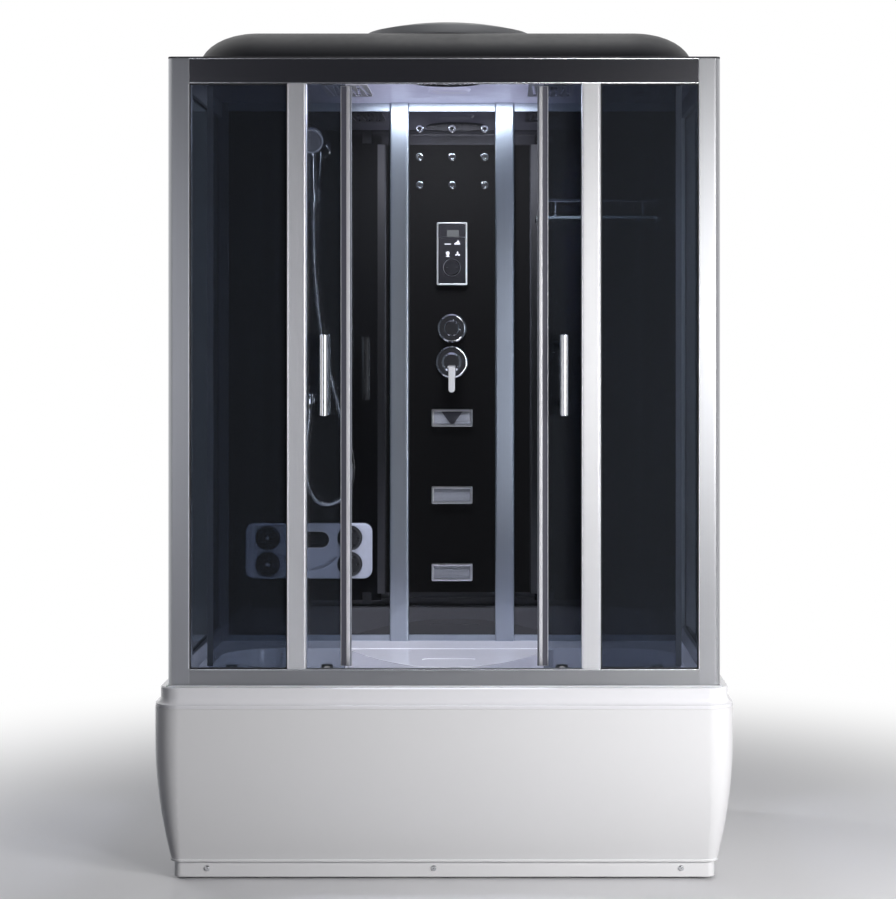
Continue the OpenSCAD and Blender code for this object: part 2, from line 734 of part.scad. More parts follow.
module back_panels() color("black") {
    difference() {
        translate([-column_x - 8, wall_y, panel_z0])
            cube([column_gap + 16, panel_t, panel_z1 - panel_z0]);
        for (i = [-1 : 1], j = [0 : jet_rows - 1])
            wall_hole(i * jet_dx, jet_z - j * jet_dz, 17);
        for (k = [0 : 2]) wall_hole(0, back_jet_z + k * back_jet_dz, 30);
        wall_hole(0, diverter_z, 34);
        wall_hole(0, mixer_z, 44);
        wall_hole(0, panel_z, 20);
    }
    for (s = [0, 1]) mirror([s, 0, 0]) difference() {
        translate([-inner_x - 8 - slot_deep + 1, wall_y, panel_z0])
            cube([inner_x - column_x - column_w + 16 + slot_deep - 1, panel_t, panel_z1 - panel_z0]);
        if (s == 0) {
            wall_hole(-shower_x - 14, elbow_z, 22);
        }
    }
}

// Section of a column: a bowed face, a panel slot on each side and a hollow back
module column_section() difference() {
    union() {
        translate([0, 6]) square([column_w, column_d - 6]);
        translate([6, 0]) square([column_w - 12, 8]);
        for (x = [6, column_w - 6]) translate([x, 6]) circle(6);
    }
    for (x = [-cut, column_w - 9]) translate([x, 14 - 0.2]) square([9 + cut, panel_t + 0.4]);
    translate([9 + wall_t, wall_t]) square([column_w - 18 - 2 * wall_t, column_d]);
}

module back_profiles() color("lightgray") {
    for (x = [-column_x - column_w, column_x])
        translate([x, wall_y - 14, rim_h]) linear_extrude(ceiling_z - rim_h) column_section();
    for (x = [[-inner_x - 8 + seat_gap, -column_x - column_w - seat_gap],
              [-column_x + seat_gap, column_x - seat_gap],
              [column_x + column_w + seat_gap, inner_x + 8 - seat_gap]]) {
        translate([x[0], wall_y - 4, rim_h]) difference() {
            cube([x[1] - x[0], panel_t + 8, back_rail_low + 4]);
            translate([-cut, 4 - 0.2, back_rail_low - 4])
                cube([cabin_w, panel_t + 0.4, 10]);
        }
        translate([x[0], wall_y - 4, panel_z1 - 4]) difference() {
            cube([x[1] - x[0], panel_t + 8, back_rail_top + 4]);
            translate([-cut, 4 - 0.2, -cut]) cube([cabin_w, panel_t + 0.4, 4 + cut + 0.2]);
        }
    }
}

module jet_rings() color("silver")
    for (i = [-1 : 1], j = [0 : jet_rows - 1])
        translate([i * jet_dx, wall_y, jet_z - j * jet_dz]) rotate([90, 0, 0]) difference() {
            union() {
                translate([0, 0, seat_gap]) cylinder(d1 = jet_d, d2 = jet_d - 3, h = 4);
                translate([0, 0, -panel_t - 8]) cylinder(d = 16, h = panel_t + 9);
            }
            translate([0, 0, -3]) cylinder(d = 12, h = 10);
            translate([0, 0, -20]) cylinder(d = 4, h = 20);
        }

module back_jet_frames() color("silver")
    for (k = [0 : 2])
        translate([0, wall_y - seat_gap, back_jet_z + k * back_jet_dz]) rotate([90, 0, 0])
            difference() {
                linear_extrude(9) rounded_plate(back_jet_w, back_jet_h, 6);
                translate([0, 0, 3]) linear_extrude(9)
                    rounded_plate(back_jet_w - 10, back_jet_h - 10, 3);
                translate([0, 0, -cut]) cylinder(d = 26, h = 6);
            }

// Sloping face of a back jet with its row of spray holes
module back_jet_faces() color("gray")
    for (k = [0 : 2])
        translate([0, wall_y - seat_gap - 3, back_jet_z + k * back_jet_dz]) rotate([90, 0, 0]) {
            difference() {
                translate([0, 0, 0]) linear_extrude(3.5)
                    rounded_plate(back_jet_w - 11, back_jet_h - 11, 3);
                for (i = [-4 : 4], j = [-1 : 1])
                    translate([i * 11, j * 11, 1]) cylinder(d = 3, h = 4, $fn = 16);
            }
            translate([0, 0, -3 - panel_t - 14]) cylinder(d = 25, h = panel_t + 17 + 0.5);
        }

module panel_frame() color("silver")
    translate([0, wall_y, panel_z]) rotate([90, 0, 0]) difference() {
        linear_extrude(13) rounded_plate(panel_w, panel_h, 4);
        translate([0, 0, 3]) linear_extrude(13) rounded_plate(panel_w - 10, panel_h - 10, 2);
        translate([0, key_z - panel_z, -cut]) cylinder(d = 14, h = 6);
    }

// Black face with a display window, four touch fields and the round key's well
module panel_face() color("black")
    translate([0, wall_y - 3, panel_z]) rotate([90, 0, 0]) difference() {
        linear_extrude(8) rounded_plate(panel_w - 11, panel_h - 11, 2);
        translate([3, 60, 7]) linear_extrude(2) rounded_plate(36, 21, 1);
        translate([0, key_z - panel_z, 2]) cylinder(d = key_d + 1, h = 10);
        translate([0, key_z - panel_z, -cut]) cylinder(d = 10, h = 10);
    }

module round_key() color("silver")
    translate([0, wall_y - 5 - key_travel - run_gap, key_z]) rotate([90, 0, 0]) difference() {
        union() {
            cylinder(d = key_d, h = 8);
            translate([0, 0, -3]) cylinder(d = 8, h = 4);
        }
        translate([0, 0, 7]) cylinder(d = key_d - 8, h = 2);
    }

module control_plates() color("silver") {
    translate([0, wall_y - seat_gap, diverter_z]) rotate([90, 0, 0]) difference() {
        union() {
            cylinder(d = diverter_d, h = 5);
            translate([0, 0, 5]) cylinder(d1 = diverter_d, d2 = diverter_d - 10, h = 3);
            translate([0, 0, -panel_t - 4]) cylinder(d = 33, h = panel_t + 6);
        }
        translate([0, 0, -panel_t - 5]) cylinder(d = stem_d + 0.6, h = panel_t + 16);
    }
    translate([0, wall_y - seat_gap, mixer_z]) rotate([90, 0, 0]) difference() {
        union() {
            cylinder(d = mixer_d, h = 5);
            translate([0, 0, 5]) cylinder(d1 = mixer_d, d2 = mixer_d - 12, h = 3);
            translate([0, 0, -panel_t - 4]) cylinder(d = 43, h = panel_t + 6);
            translate([0, 0, 7]) cylinder(d = mixer_cap_d - 10, h = 22);
        }
        translate([0, 0, -panel_t - 5]) cylinder(d = mixer_stem_d + 0.6, h = panel_t + 40);
    }
}

module diverter_knob() color("silver")
    translate([0, wall_y - 8 - 2 * seat_gap, diverter_z]) rotate([90, 0, 0]) {
        difference() {
            cylinder(d = diverter_knob_d, h = 30);
            for (a = [0 : 30 : 330]) rotate([0, 0, a + 15])
                translate([diverter_knob_d / 2 + 3, 0, 6]) cylinder(d = 10, h = 30, $fn = 24);
        }
        translate([0, 0, 30]) cylinder(d1 = diverter_knob_d - 8, d2 = diverter_knob_d - 14, h = 4);
        translate([0, diverter_knob_d / 2 - 9, 33]) cylinder(d = 5, h = 3);
        translate([0, 0, -panel_t - 32]) cylinder(d = stem_d, h = panel_t + 33);
    }

// The cap turns for temperature and carries the lever's hinge
module mixer_cap() color("silver")
    translate([0, wall_y - 29 - 3 * seat_gap, mixer_z]) rotate([90, 0, 0]) difference() {
        union() {
            cylinder(d = mixer_cap_d, h = 26);
            translate([0, 0, 26]) cylinder(d1 = mixer_cap_d, d2 = mixer_cap_d - 12, h = 6);
            translate([0, 0, -panel_t - 58]) cylinder(d = mixer_stem_d, h = panel_t + 59);
        }
        translate([-12, -mixer_cap_d, 4]) cube([24, mixer_cap_d - 8, 40]);
        translate([-30, -14, 14]) rotate([0, 90, 0]) cylinder(d = 6.1, h = 60);
    }

// Lever on its pin in the cap, lifted to let the water flow
module mixer_lever() color("silver")
    translate([0, wall_y - 29 - 3 * seat_gap, mixer_z]) rotate([90, 0, 0]) {
        translate([-24, -14, 14]) rotate([0, 90, 0]) cylinder(d = 6, h = 48);
        translate([-9.5, -14, 14]) rotate([0, 90, 0]) cylinder(d = 11, h = 19);
        translate([-9.5, -lever_l + 6, 12]) cube([19, lever_l - 18, 9]);
        translate([0, -lever_l + 6, 12]) cylinder(d = 19, h = 9);
    }

// Brass diverter and mixer bodies with their supply pipes, behind the middle panel
module valves() color("goldenrod") {
    y0 = wall_y + panel_t + 8;
    difference() {
        union() {
            translate([0, y0 + 8, diverter_z]) rotate([-90, 0, 0]) cylinder(d = 56, h = 24);
            translate([0, y0 + 16, mixer_z]) rotate([-90, 0, 0]) cylinder(d = 62, h = 18);
            translate([0, y0 + 24, mixer_z]) cylinder(d = 16, h = diverter_z - mixer_z);
            for (s = [-1, 1]) {
                translate([s * inlet_x, y0 + 14, inlet_z])
                    cylinder(d = 14, h = mixer_z - inlet_z - 10);
                translate([s * inlet_x, y0 + 12, inlet_z]) rotate([-90, 0, 0])
                    cylinder(d = inlet_nut_d, h = 10, $fn = 6);
                translate([s * inlet_x, y0 + 21, inlet_z]) rotate([-90, 0, 0])
                    cylinder(r = inlet_r, h = back_edge - y0 - 21 - 0.5);
            }
            translate([0, y0 + 24, diverter_z])
                cylinder(d = 14, h = jet_z - (jet_rows - 1) * jet_dz - diverter_z + 20);
            translate([-shower_x - 14, y0 + 24, elbow_z + 140]) rotate([0, 90, 0])
                cylinder(d = 14, h = shower_x + 14);
            translate([0, y0 + 24, elbow_z + 140]) cylinder(d = 14, h = diverter_z - elbow_z - 140);
            translate([-shower_x - 14, y0 + 24, elbow_z]) cylinder(d = 14, h = 147);
            translate([-shower_x - 14, y0 + 30, elbow_z]) rotate([90, 0, 0])
                cylinder(d = 20, h = 22);
        }
        translate([0, y0 + 7, diverter_z]) rotate([-90, 0, 0]) cylinder(d = stem_d + 0.6, h = 12);
        translate([0, y0 + 15, mixer_z]) rotate([-90, 0, 0]) cylinder(d = mixer_stem_d + 0.6, h = 8);
    }
}

elbow_bend = 14;
elbow_out = 32;
elbow_drop = 40;

module wall_elbow() color("silver")
    translate([-shower_x - 14, wall_y, elbow_z]) {
        rotate([90, 0, 0]) {
            translate([0, 0, seat_gap]) cylinder(d1 = 56, d2 = 50, h = 7);
            translate([0, 0, 7]) cylinder(d = 22, h = elbow_out - elbow_bend - 7);
            translate([0, 0, -panel_t - 15.7]) cylinder(d = 20, h = panel_t + 18.7);
        }
        translate([0, elbow_bend - elbow_out, -elbow_bend]) rotate([0, 90, 0]) rotate([0, 0, 180])
            rotate_extrude(angle = 90) translate([elbow_bend, 0]) circle(d = 22);
        translate([0, -elbow_out, -elbow_drop + 4])
            cylinder(d = 22, h = elbow_drop - elbow_bend - 4);
        translate([0, -elbow_out, -elbow_drop]) cylinder(d = 25, h = 14, $fn = 6);
    }

holder_out = 58;

// Wall bracket whose ball carries the hand shower's socket
module shower_holder() color("silver")
    translate([-shower_x, wall_y, holder_z]) rotate([90, 0, 0]) {
        translate([0, 0, seat_gap]) cylinder(d1 = 50, d2 = 44, h = 8);
        translate([0, 0, 8]) cylinder(d = 18, h = holder_out - 34);
        translate([0, 0, holder_out - 30]) rotate([0, 90, 0]) {
            translate([0, 0, -9]) cylinder(d = 22, h = 18);
            translate([0, 0, -17]) cylinder(d = 7, h = 34);
        }
    }

// Socket, handle and head, drawn upright about the holder's pivot and then leant forward
module hand_shower() color("silver")
    translate([-shower_x, wall_y - holder_out + 30, holder_z]) rotate([shower_lean, 0, 0]) {
        difference() {
            union() {
                for (s = [-1, 1]) translate([s * 13.3 - 4, 0, 0]) rotate([0, 90, 0])
                    cylinder(d = 22, h = 8);
                for (s = [-1, 1]) translate([s * 13.3 - 4, -28, -11]) cube([8, 28, 22]);
                translate([0, -30, -14]) cylinder(d = 34, h = 28);
            }
            translate([0, -30, -15]) cylinder(d = 24.6, h = 30);
            translate([-9.3, -12.2, -15]) cube([18.6, 30, 30]);
            translate([-30, 0, 0]) rotate([0, 90, 0]) cylinder(d = 7.12, h = 60);
        }
        translate([0, -30, -30]) cylinder(d1 = 20, d2 = 24.6, h = 40);
        translate([0, -30, 10]) cylinder(d1 = 24.6, d2 = 27, h = 120);
        translate([0, -30, 128]) rotate([14, 0, 0]) {
            cylinder(d1 = 27, d2 = 30, h = 36);
            translate([0, 14, 46]) rotate([90, 0, 0]) {
                cylinder(d1 = head_d - 26, d2 = head_d, h = 18);
                translate([0, 0, 18]) cylinder(d = head_d, h = 10);
                translate([0, 0, 28]) cylinder(d1 = head_d - 4, d2 = head_d - 12, h = 3);
            }
        }
    }

hose_bore = 8;
hose_ribs = 170;
// Route of the hose from the hand shower to the wall elbow
hose_points = [[-410, 350.2, 1793.3], [-410, 353.9, 1778.5], [-410, 358, 1755], [-410, 362, 1700],
               [-408, 364, 1620], [-402, 365, 1540], [-392, 365, 1450], [-376, 365, 1360],
               [-355, 365, 1270], [-332, 365, 1180], [-312, 365, 1095], [-300, 365, 1020],
               [-306, 365, 962], [-332, 365, 926], [-370, 365, 912], [-405, 366, 926],
               [-426, 367, 968], [-434, 368, 1030], [-432, 368, 1100], [-426, 368, 1155],
               [-424, 368, 1180], [-424, 368, 1194.7]];

function spline(p, i, t) = let (n = len(p) - 1, a = p[max(i - 1, 0)], b = p[i],
    c = p[min(i + 1, n)], d = p[min(i + 2, n)])
    0.5 * (2 * b + (c - a) * t + (2 * a - 5 * b + 4 * c - d) * t * t
        + (3 * b - a - 3 * c + d) * t * t * t);
function path_point(p, u) = let (i = min(floor(u), len(p) - 2)) spline(p, i, u - i);
function path_turn(p, u) = let (d = path_point(p, min(u + 0.02, len(p) - 1))
    - path_point(p, max(u - 0.02, 0))) d / norm(d);
function ring(p, u, r, sides) = let (c = path_point(p, u), t = path_turn(p, u),
    n = cross(t, [0, 1, 0]) / norm(cross(t, [0, 1, 0])), b = cross(t, n))
    [for (k = [0 : sides - 1]) c + r * (cos(360 * k / sides) * n + sin(360 * k / sides) * b)];

// Ribbed tube with a bore: two outer rings a rib, and a plain inner wall
module shower_hose() color("silver") {
    sides = 8;
    last = len(hose_points) - 1;
    outer = [for (i = [0 : hose_ribs - 1], h = [0, 1])
        let (u = last * (i + 0.5 * h) / (hose_ribs - 0.5),
             plain = u < 0.5 || u > last - 0.4)
        ring(hose_points, u, (h == 0 || plain) ? hose_d / 2 : hose_d / 2 - 1, sides)];
    inner = [for (i = [len(outer) - 1 : -5 : 0])
        ring(hose_points, last * i / (len(outer) - 1), hose_bore / 2, sides)];
    inner_end = [ring(hose_points, 0, hose_bore / 2, sides)];
    rings = concat(outer, inner, (len(outer) - 1) % 5 == 0 ? [] : inner_end);
    n = len(rings);
    polyhedron(points = [for (r = rings, q = r) q],
        faces = [for (i = [0 : n - 1], k = [0 : sides - 1], h = [0, 1])
            let (a = i * sides + k, b = i * sides + (k + 1) % sides,
                 c = ((i + 1) % n) * sides + k, d = ((i + 1) % n) * sides + (k + 1) % sides)
            h == 0 ? [a, b, d] : [a, d, c]]);
}

// Moulded plate with four disc pockets, a middle window and a curved grip slot
module massage_board() color("lightsteelblue")
    translate([-board_x, wall_y - seat_gap, board_z]) rotate([90, 0, 0]) difference() {
        union() {
            linear_extrude(board_t - 4) rounded_plate(board_w, board_h, 26);
            translate([0, 0, board_t - 4]) linear_extrude(4)
                rounded_plate(board_w - 8, board_h - 8, 22);
        }
        for (sx = [-1, 1], sz = [-1, 1])
            translate([sx * disc_x, sz * disc_z, board_t - 8]) cylinder(d = disc_d + 3, h = 9);
        translate([0, 34, board_t - 7]) linear_extrude(8) {
            square([74, 50], center = true);
            for (s = [-1, 1]) translate([s * 37, 0]) circle(25);
        }
        translate([0, 46, board_t - 6]) difference() {
            cylinder(r = grip_r, h = 7);
            translate([0, 0, -cut]) cylinder(r = grip_r - 12, h = 9);
            translate([-grip_r - 4, -62, -cut]) cube(2 * grip_r + 8);
        }
    }

module massage_discs() color("dimgray")
    for (sx = [-1, 1], sz = [-1, 1])
        translate([-board_x + sx * disc_x, wall_y - 2 * seat_gap - board_t + 8, board_z + sz * disc_z])
            rotate([90, 0, 0]) difference() {
                union() {
                    cylinder(d = disc_d, h = 10);
                    translate([0, 0, 10]) cylinder(d1 = disc_d, d2 = disc_d - 10, h = 3);
                    translate([0, 0, 12]) cylinder(d1 = 16, d2 = 10, h = 6);
                }
                for (a = [0 : 60 : 300]) rotate([0, 0, a]) translate([24, 0, 9])
                    cylinder(d = 9, h = 6, $fn = 24);
            }

module shelf_glass() color([0.6, 0.7, 0.75, 0.35])
    translate([shelf_x, wall_y - 3, shelf_z - 8]) linear_extrude(8) {
        translate([-shelf_l / 2, shelf_round - shelf_d]) square([shelf_l, shelf_d - shelf_round]);
        translate([shelf_round - shelf_l / 2, -shelf_d])
            square([shelf_l - 2 * shelf_round, shelf_round + cut]);
        for (s = [-1, 1])
            translate([s * (shelf_l / 2 - shelf_round), shelf_round - shelf_d]) circle(shelf_round);
    }

// Two wall brackets that clamp the glass, with the guard rail on two posts
module shelf_rail() color("silver") {
    rail_z = shelf_z + shelf_rail_h;
    rail_y = wall_y - shelf_d + 14;
    reach = shelf_l / 2 - 18;
    for (s = [-1, 1]) translate([shelf_x + s * reach, 0, 0]) {
        for (z = [shelf_z - 24, rail_z]) translate([0, wall_y, z]) rotate([90, 0, 0])
            translate([0, 0, seat_gap]) cylinder(d = 26, h = 7);
        translate([0, wall_y, shelf_z - 24]) rotate([90, 0, 0])
            cylinder(d = 11, h = shelf_arm + 6);
        translate([0, wall_y - shelf_arm, shelf_z - 24])
            cylinder(d = 11, h = 24 - 8 - seat_gap);
        translate([0, rail_y, rail_z]) rotate([-90, 0, 0])
            cylinder(d = 8, h = wall_y - 2 - rail_y);
        translate([0, rail_y, rail_z]) sphere(d = 8);
        translate([-s * shelf_post_in, rail_y, shelf_z + seat_gap])
            cylinder(d = 7, h = shelf_rail_h);
    }
    translate([shelf_x - reach, rail_y, rail_z]) rotate([0, 90, 0])
        cylinder(d = 8, h = 2 * reach);
}

module grab_rail() color("silver") {
    x0 = inner_x - grab_in - grab_l;
    out = 52;
    for (x = [x0, x0 + grab_l]) translate([x - 17, wall_y - out - 8, grab_z - 15])
        difference() {
            cube([34, out + 8 - seat_gap, 30]);
            translate([x > x0 ? -cut : 6, 14, -cut]) cube([29, out - 20, 32]);
        }
    translate([x0, wall_y - out - 6, grab_z - 9]) cube([grab_l, 10, 18]);
}

// Quarter-round edge of the roof: x is outwards from the frame's face, y is height
module roof_section() {
    steps = 10;
    polygon(concat(
        [for (i = [0 : steps]) let (a = 90 * i / steps)
            [-dome_in + dome_in * cos(a), dome_h * sin(a)]],
        [for (i = [steps : -1 : 0]) let (a = 90 * i / steps)
            [-dome_in + (dome_in - roof_t) * cos(a), (dome_h - roof_t) * sin(a)]]));
    translate([-26, 0]) square([25, roof_t]);
}

module roof_shell() color("gainsboro")
    translate([0, 0, frame_top]) difference() {
        union() {
            for (c = [[1, roof_y1 - roof_r, 0], [-1, roof_y1 - roof_r, 90],
                      [-1, roof_y0 + roof_r, 180], [1, roof_y0 + roof_r, 270]])
                corner_sweep(c[0] * (roof_x - roof_r), c[1], c[2], roof_r) roof_section();
            side_sweep(roof_x, roof_y1 - roof_r, 0, roof_y1 - roof_y0 - 2 * roof_r) roof_section();
            side_sweep(-roof_x, roof_y0 + roof_r, 180, roof_y1 - roof_y0 - 2 * roof_r)
                roof_section();
            side_sweep(roof_x - roof_r, roof_y0, -90, 2 * roof_x - 2 * roof_r) roof_section();
            side_sweep(-roof_x + roof_r, roof_y1, 90, 2 * roof_x - 2 * roof_r) roof_section();
            translate([0, roof_mid, dome_h - roof_t]) linear_extrude(roof_t)
                rounded_plate(2 * (roof_x - dome_in) + 1, roof_y1 - roof_y0 - 2 * dome_in + 1,
                    roof_r - dome_in);
            crown();
            difference() {
                translate([0, roof_mid, 0]) linear_extrude(roof_t)
                    rounded_plate(2 * side_x, roof_y1 - roof_y0 + 2 * roof_in, 14);
                translate([0, roof_mid, -cut]) linear_extrude(roof_t + 2 * cut)
                    rounded_plate(2 * roof_x - 50, roof_y1 - roof_y0 - 50, roof_r - 25);
            }
        }
        translate([grille_x, fan_y, dome_h - 20]) cylinder(d = 42, h = 60);
    }

// Shallow round crown on top of the dome: a tapered base with a domed top
module crown() {
    ball_r = (pow(crown_d / 2, 2) + crown_h * crown_h) / (2 * crown_h);
    translate([0, roof_mid, dome_h - 12])
        cylinder(d1 = crown_d + 48, d2 = crown_d, h = crown_base + 12);
    translate([0, roof_mid, dome_h + crown_base - 1]) intersection() {
        translate([0, 0, crown_h + 1 - ball_r]) sphere(ball_r, $fn = 360);
        cylinder(d = crown_d, h = crown_h + 2);
    }
}

ceiling_t = 4;

module ceiling() color("white")
    difference() {
        translate([-side_x + side_rail_w + seat_gap, rail_back + seat_gap, ceiling_z])
            cube([2 * (side_x - side_rail_w - seat_gap), wall_y + 9 - rail_back - 2 * seat_gap,
                ceiling_t]);
        for (s = [-1, 1]) translate([s * grille_x, fan_y, ceiling_z - cut])
            cylinder(d = fan_d - 8, h = ceiling_t + 2 * cut);
        translate([0, fan_y, ceiling_z - cut]) cylinder(d = 108, h = ceiling_t + 2 * cut);
        translate([0, rain_y, ceiling_z - cut]) cylinder(d = 22, h = ceiling_t + 2 * cut);
        for (s = [-1, 1]) {
            translate([s > 0 ? inner_x + 8 - seat_gap : -side_x, post_back_y - seat_gap,
                ceiling_z - cut]) cube([post_w, post_back_d, ceiling_t + 2 * cut]);
        }
    }

module rain_shower() color("silver")
    translate([0, rain_y, ceiling_z]) difference() {
        union() {
            translate([0, 0, -6]) cylinder(d = 20, h = 28);
            translate([0, 0, -4 - seat_gap]) cylinder(d = 56, h = 4);
            translate([0, 0, -rain_drop]) cylinder(d = rain_d, h = 4);
            translate([0, 0, 4 - rain_drop]) cylinder(d1 = rain_d, d2 = rain_d - 14, h = 4);
        }
        for (k = [1 : 3], a = [0 : 45 : 315]) rotate([0, 0, a + 22.5 * k])
            translate([k * rain_d / 8, 0, -cut - rain_drop]) cylinder(d = 4, h = 3, $fn = 16);
    }

module ceiling_lamp() color("lightyellow")
    translate([0, fan_y, ceiling_z]) {
        translate([0, 0, -9 - seat_gap]) cylinder(d1 = 110, d2 = 124, h = 9);
        translate([0, 0, -1]) cylinder(d = 106, h = 22);
    }

// Louvred covers under the loudspeaker and the fan
module ceiling_grilles() color("gainsboro")
    for (s = [-1, 1]) translate([s * grille_x, fan_y, ceiling_z - 5 - seat_gap]) difference() {
        linear_extrude(5) rounded_plate(grille_w, grille_d, 12);
        for (i = [-3 : 3]) translate([i * grille_w / 8, 0, -cut]) rotate([0, 0, i % 2 == 0 ? 2 : -2])
            linear_extrude(7) rounded_plate(7, grille_d - 36, 3.4, $fn = 24);
    }

// Fan and loudspeaker cans above the ceiling, with the fan's outlet through the roof
module fan_housing() color("dimgray") {
    z0 = ceiling_z + ceiling_t + seat_gap;
    z1 = frame_top + dome_h;
    translate([grille_x, fan_y, z0]) difference() {
        union() {
            cylinder(d = fan_d + 8, h = 48);
            translate([0, 0, 46]) cylinder(d1 = fan_d, d2 = 40, h = 26);
            translate([0, 0, 70]) cylinder(d = 40, h = z1 - z0 - 70 + 10);
            translate([0, 0, z1 - z0 + seat_gap]) cylinder(d = 56, h = 6);
        }
        translate([0, 0, -cut]) cylinder(d = fan_d, h = 42 + cut);
        translate([0, 0, 4]) cylinder(d = 34, h = z1);
    }
    translate([grille_x, fan_y, z0]) difference() {
        union() {
            translate([-fan_d / 2 - 2, -5, 30]) cube([fan_d + 4, 10, 5]);
            translate([0, 0, 22]) cylinder(d = 30, h = 13);
        }
        translate([0, 0, 20]) cylinder(d = 5.1, h = 10);
    }
    translate([-grille_x, fan_y, z0]) {
        cylinder(d = fan_d + 8, h = 6);
        translate([0, 0, 6]) cylinder(d1 = fan_d, d2 = 50, h = 22);
        translate([0, 0, 27]) cylinder(d = 60, h = 14);
    }
}

module fan_rotor() color("black")
    translate([grille_x, fan_y, ceiling_z + ceiling_t + 4]) {
        cylinder(d = 30, h = 16);
        translate([0, 0, 15]) cylinder(d = 5, h = 11);
        for (a = [0 : 60 : 300]) rotate([0, 0, a]) translate([13, -1, 1])
            rotate([35, 0, 0]) cube([fan_d / 2 - 17, 2.5, 14]);
    }

tub();
tub_frame();
levelling_feet();
front_skirt();
side_skirts();
skirt_screws();
waste_fittings();
waste_plug();
waste_trap();
front_posts();
back_posts();
top_rail();
low_rail();
side_rails();
fixed_stiles();
fixed_panes();
side_panes();
left_door_glass();
left_door_stile();
left_door_seals();
left_door_handle();
left_door_carriers();
left_wheel_outer();
left_wheel_inner();
right_door_glass();
right_door_stile();
right_door_seals();
right_door_handle();
right_door_carriers();
right_wheel_outer();
right_wheel_inner();
back_panels();
back_profiles();
jet_rings();
back_jet_frames();
back_jet_faces();
panel_frame();
panel_face();
round_key();
control_plates();
diverter_knob();
mixer_cap();
mixer_lever();
valves();
wall_elbow();
shower_holder();
hand_shower();
shower_hose();
massage_board();
massage_discs();
shelf_glass();
shelf_rail();
grab_rail();
roof_shell();
ceiling();
rain_shower();
ceiling_lamp();
ceiling_grilles();
fan_housing();
fan_rotor();
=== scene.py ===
import json
import math

import bpy
from mathutils import Matrix, Vector

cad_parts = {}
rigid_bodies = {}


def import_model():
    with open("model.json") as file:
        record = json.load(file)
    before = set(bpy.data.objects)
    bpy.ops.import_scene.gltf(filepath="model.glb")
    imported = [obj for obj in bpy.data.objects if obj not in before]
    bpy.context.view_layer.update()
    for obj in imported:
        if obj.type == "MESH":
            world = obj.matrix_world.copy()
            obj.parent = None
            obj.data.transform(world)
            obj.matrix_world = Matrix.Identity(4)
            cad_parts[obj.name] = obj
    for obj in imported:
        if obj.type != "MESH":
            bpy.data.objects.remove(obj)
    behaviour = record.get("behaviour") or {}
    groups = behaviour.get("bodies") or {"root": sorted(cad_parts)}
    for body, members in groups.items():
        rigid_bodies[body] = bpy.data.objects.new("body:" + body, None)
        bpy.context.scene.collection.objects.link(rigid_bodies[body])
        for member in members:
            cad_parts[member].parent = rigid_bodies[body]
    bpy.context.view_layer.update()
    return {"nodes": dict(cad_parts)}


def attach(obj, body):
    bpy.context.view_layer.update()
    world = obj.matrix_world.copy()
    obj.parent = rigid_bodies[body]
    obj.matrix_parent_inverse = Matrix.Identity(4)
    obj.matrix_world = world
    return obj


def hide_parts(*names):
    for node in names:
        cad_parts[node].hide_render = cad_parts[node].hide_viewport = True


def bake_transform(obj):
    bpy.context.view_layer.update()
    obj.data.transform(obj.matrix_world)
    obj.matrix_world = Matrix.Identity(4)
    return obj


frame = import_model()
nodes = frame["nodes"]
bpy.ops.object.select_all(action="DESELECT")

# The viewpoint: a level camera at eye height, more than five metres in front of the cabin and a
# little to its right. Its lens is shifted down and sideways, so that the posts stay upright.
bpy.ops.object.camera_add(location=(0.155, -5.630, 1.384), rotation=(math.radians(90), 0, 0))
camera = bpy.context.object
camera.name = "view_from_the_front"
camera.data.lens = 80.9
camera.data.shift_x = -0.0623
camera.data.shift_y = -0.1162
bpy.context.scene.camera = camera
bpy.context.scene.view_settings.view_transform = "Standard"

# The shower hose: a chrome double-lock tube that hangs from the hand shower in one low loop and
# comes up under the wall elbow. It bends near its top when the hand shower tilts. Its bright
# finish carries the cloudy film that dried water leaves, which every gloss surface here shares.
def new_group(name, inputs, outputs):
    """A group of shader nodes to share, with its inputs, its outputs and the inputs' values."""
    group = bpy.data.node_groups.new(name, "ShaderNodeTree")
    for label, kind, value in inputs:
        socket = group.interface.new_socket(label, in_out="INPUT", socket_type="NodeSocket" + kind)
        if value is not None:
            socket.default_value = value
    for label, kind in outputs:
        group.interface.new_socket(label, in_out="OUTPUT", socket_type="NodeSocket" + kind)
    way_in = group.nodes.new("NodeGroupInput")
    way_out = group.nodes.new("NodeGroupOutput")
    return group, way_in, way_out


def noise_node(tree, detail, roughness):
    """A noise texture with its amount of fine detail."""
    noise = tree.nodes.new("ShaderNodeTexNoise")
    noise.inputs["Detail"].default_value = detail
    noise.inputs["Roughness"].default_value = roughness
    return noise


def math_node(tree, operation, second=None, third=None):
    """A math node, with its second and third inputs set where they are constants."""
    node = tree.nodes.new("ShaderNodeMath")
    node.operation = operation
    if second is not None:
        node.inputs[1].default_value = second
    if third is not None:
        node.inputs[2].default_value = third
    return node


def smooth_range(tree, low, high, start=0.0, end=1.0, kind="SMOOTHSTEP"):
    """A map range that runs smoothly from start at low to end at high."""
    node = tree.nodes.new("ShaderNodeMapRange")
    node.interpolation_type = kind
    node.inputs["From Min"].default_value = low
    node.inputs["From Max"].default_value = high
    node.inputs["To Min"].default_value = start
    node.inputs["To Max"].default_value = end
    return node


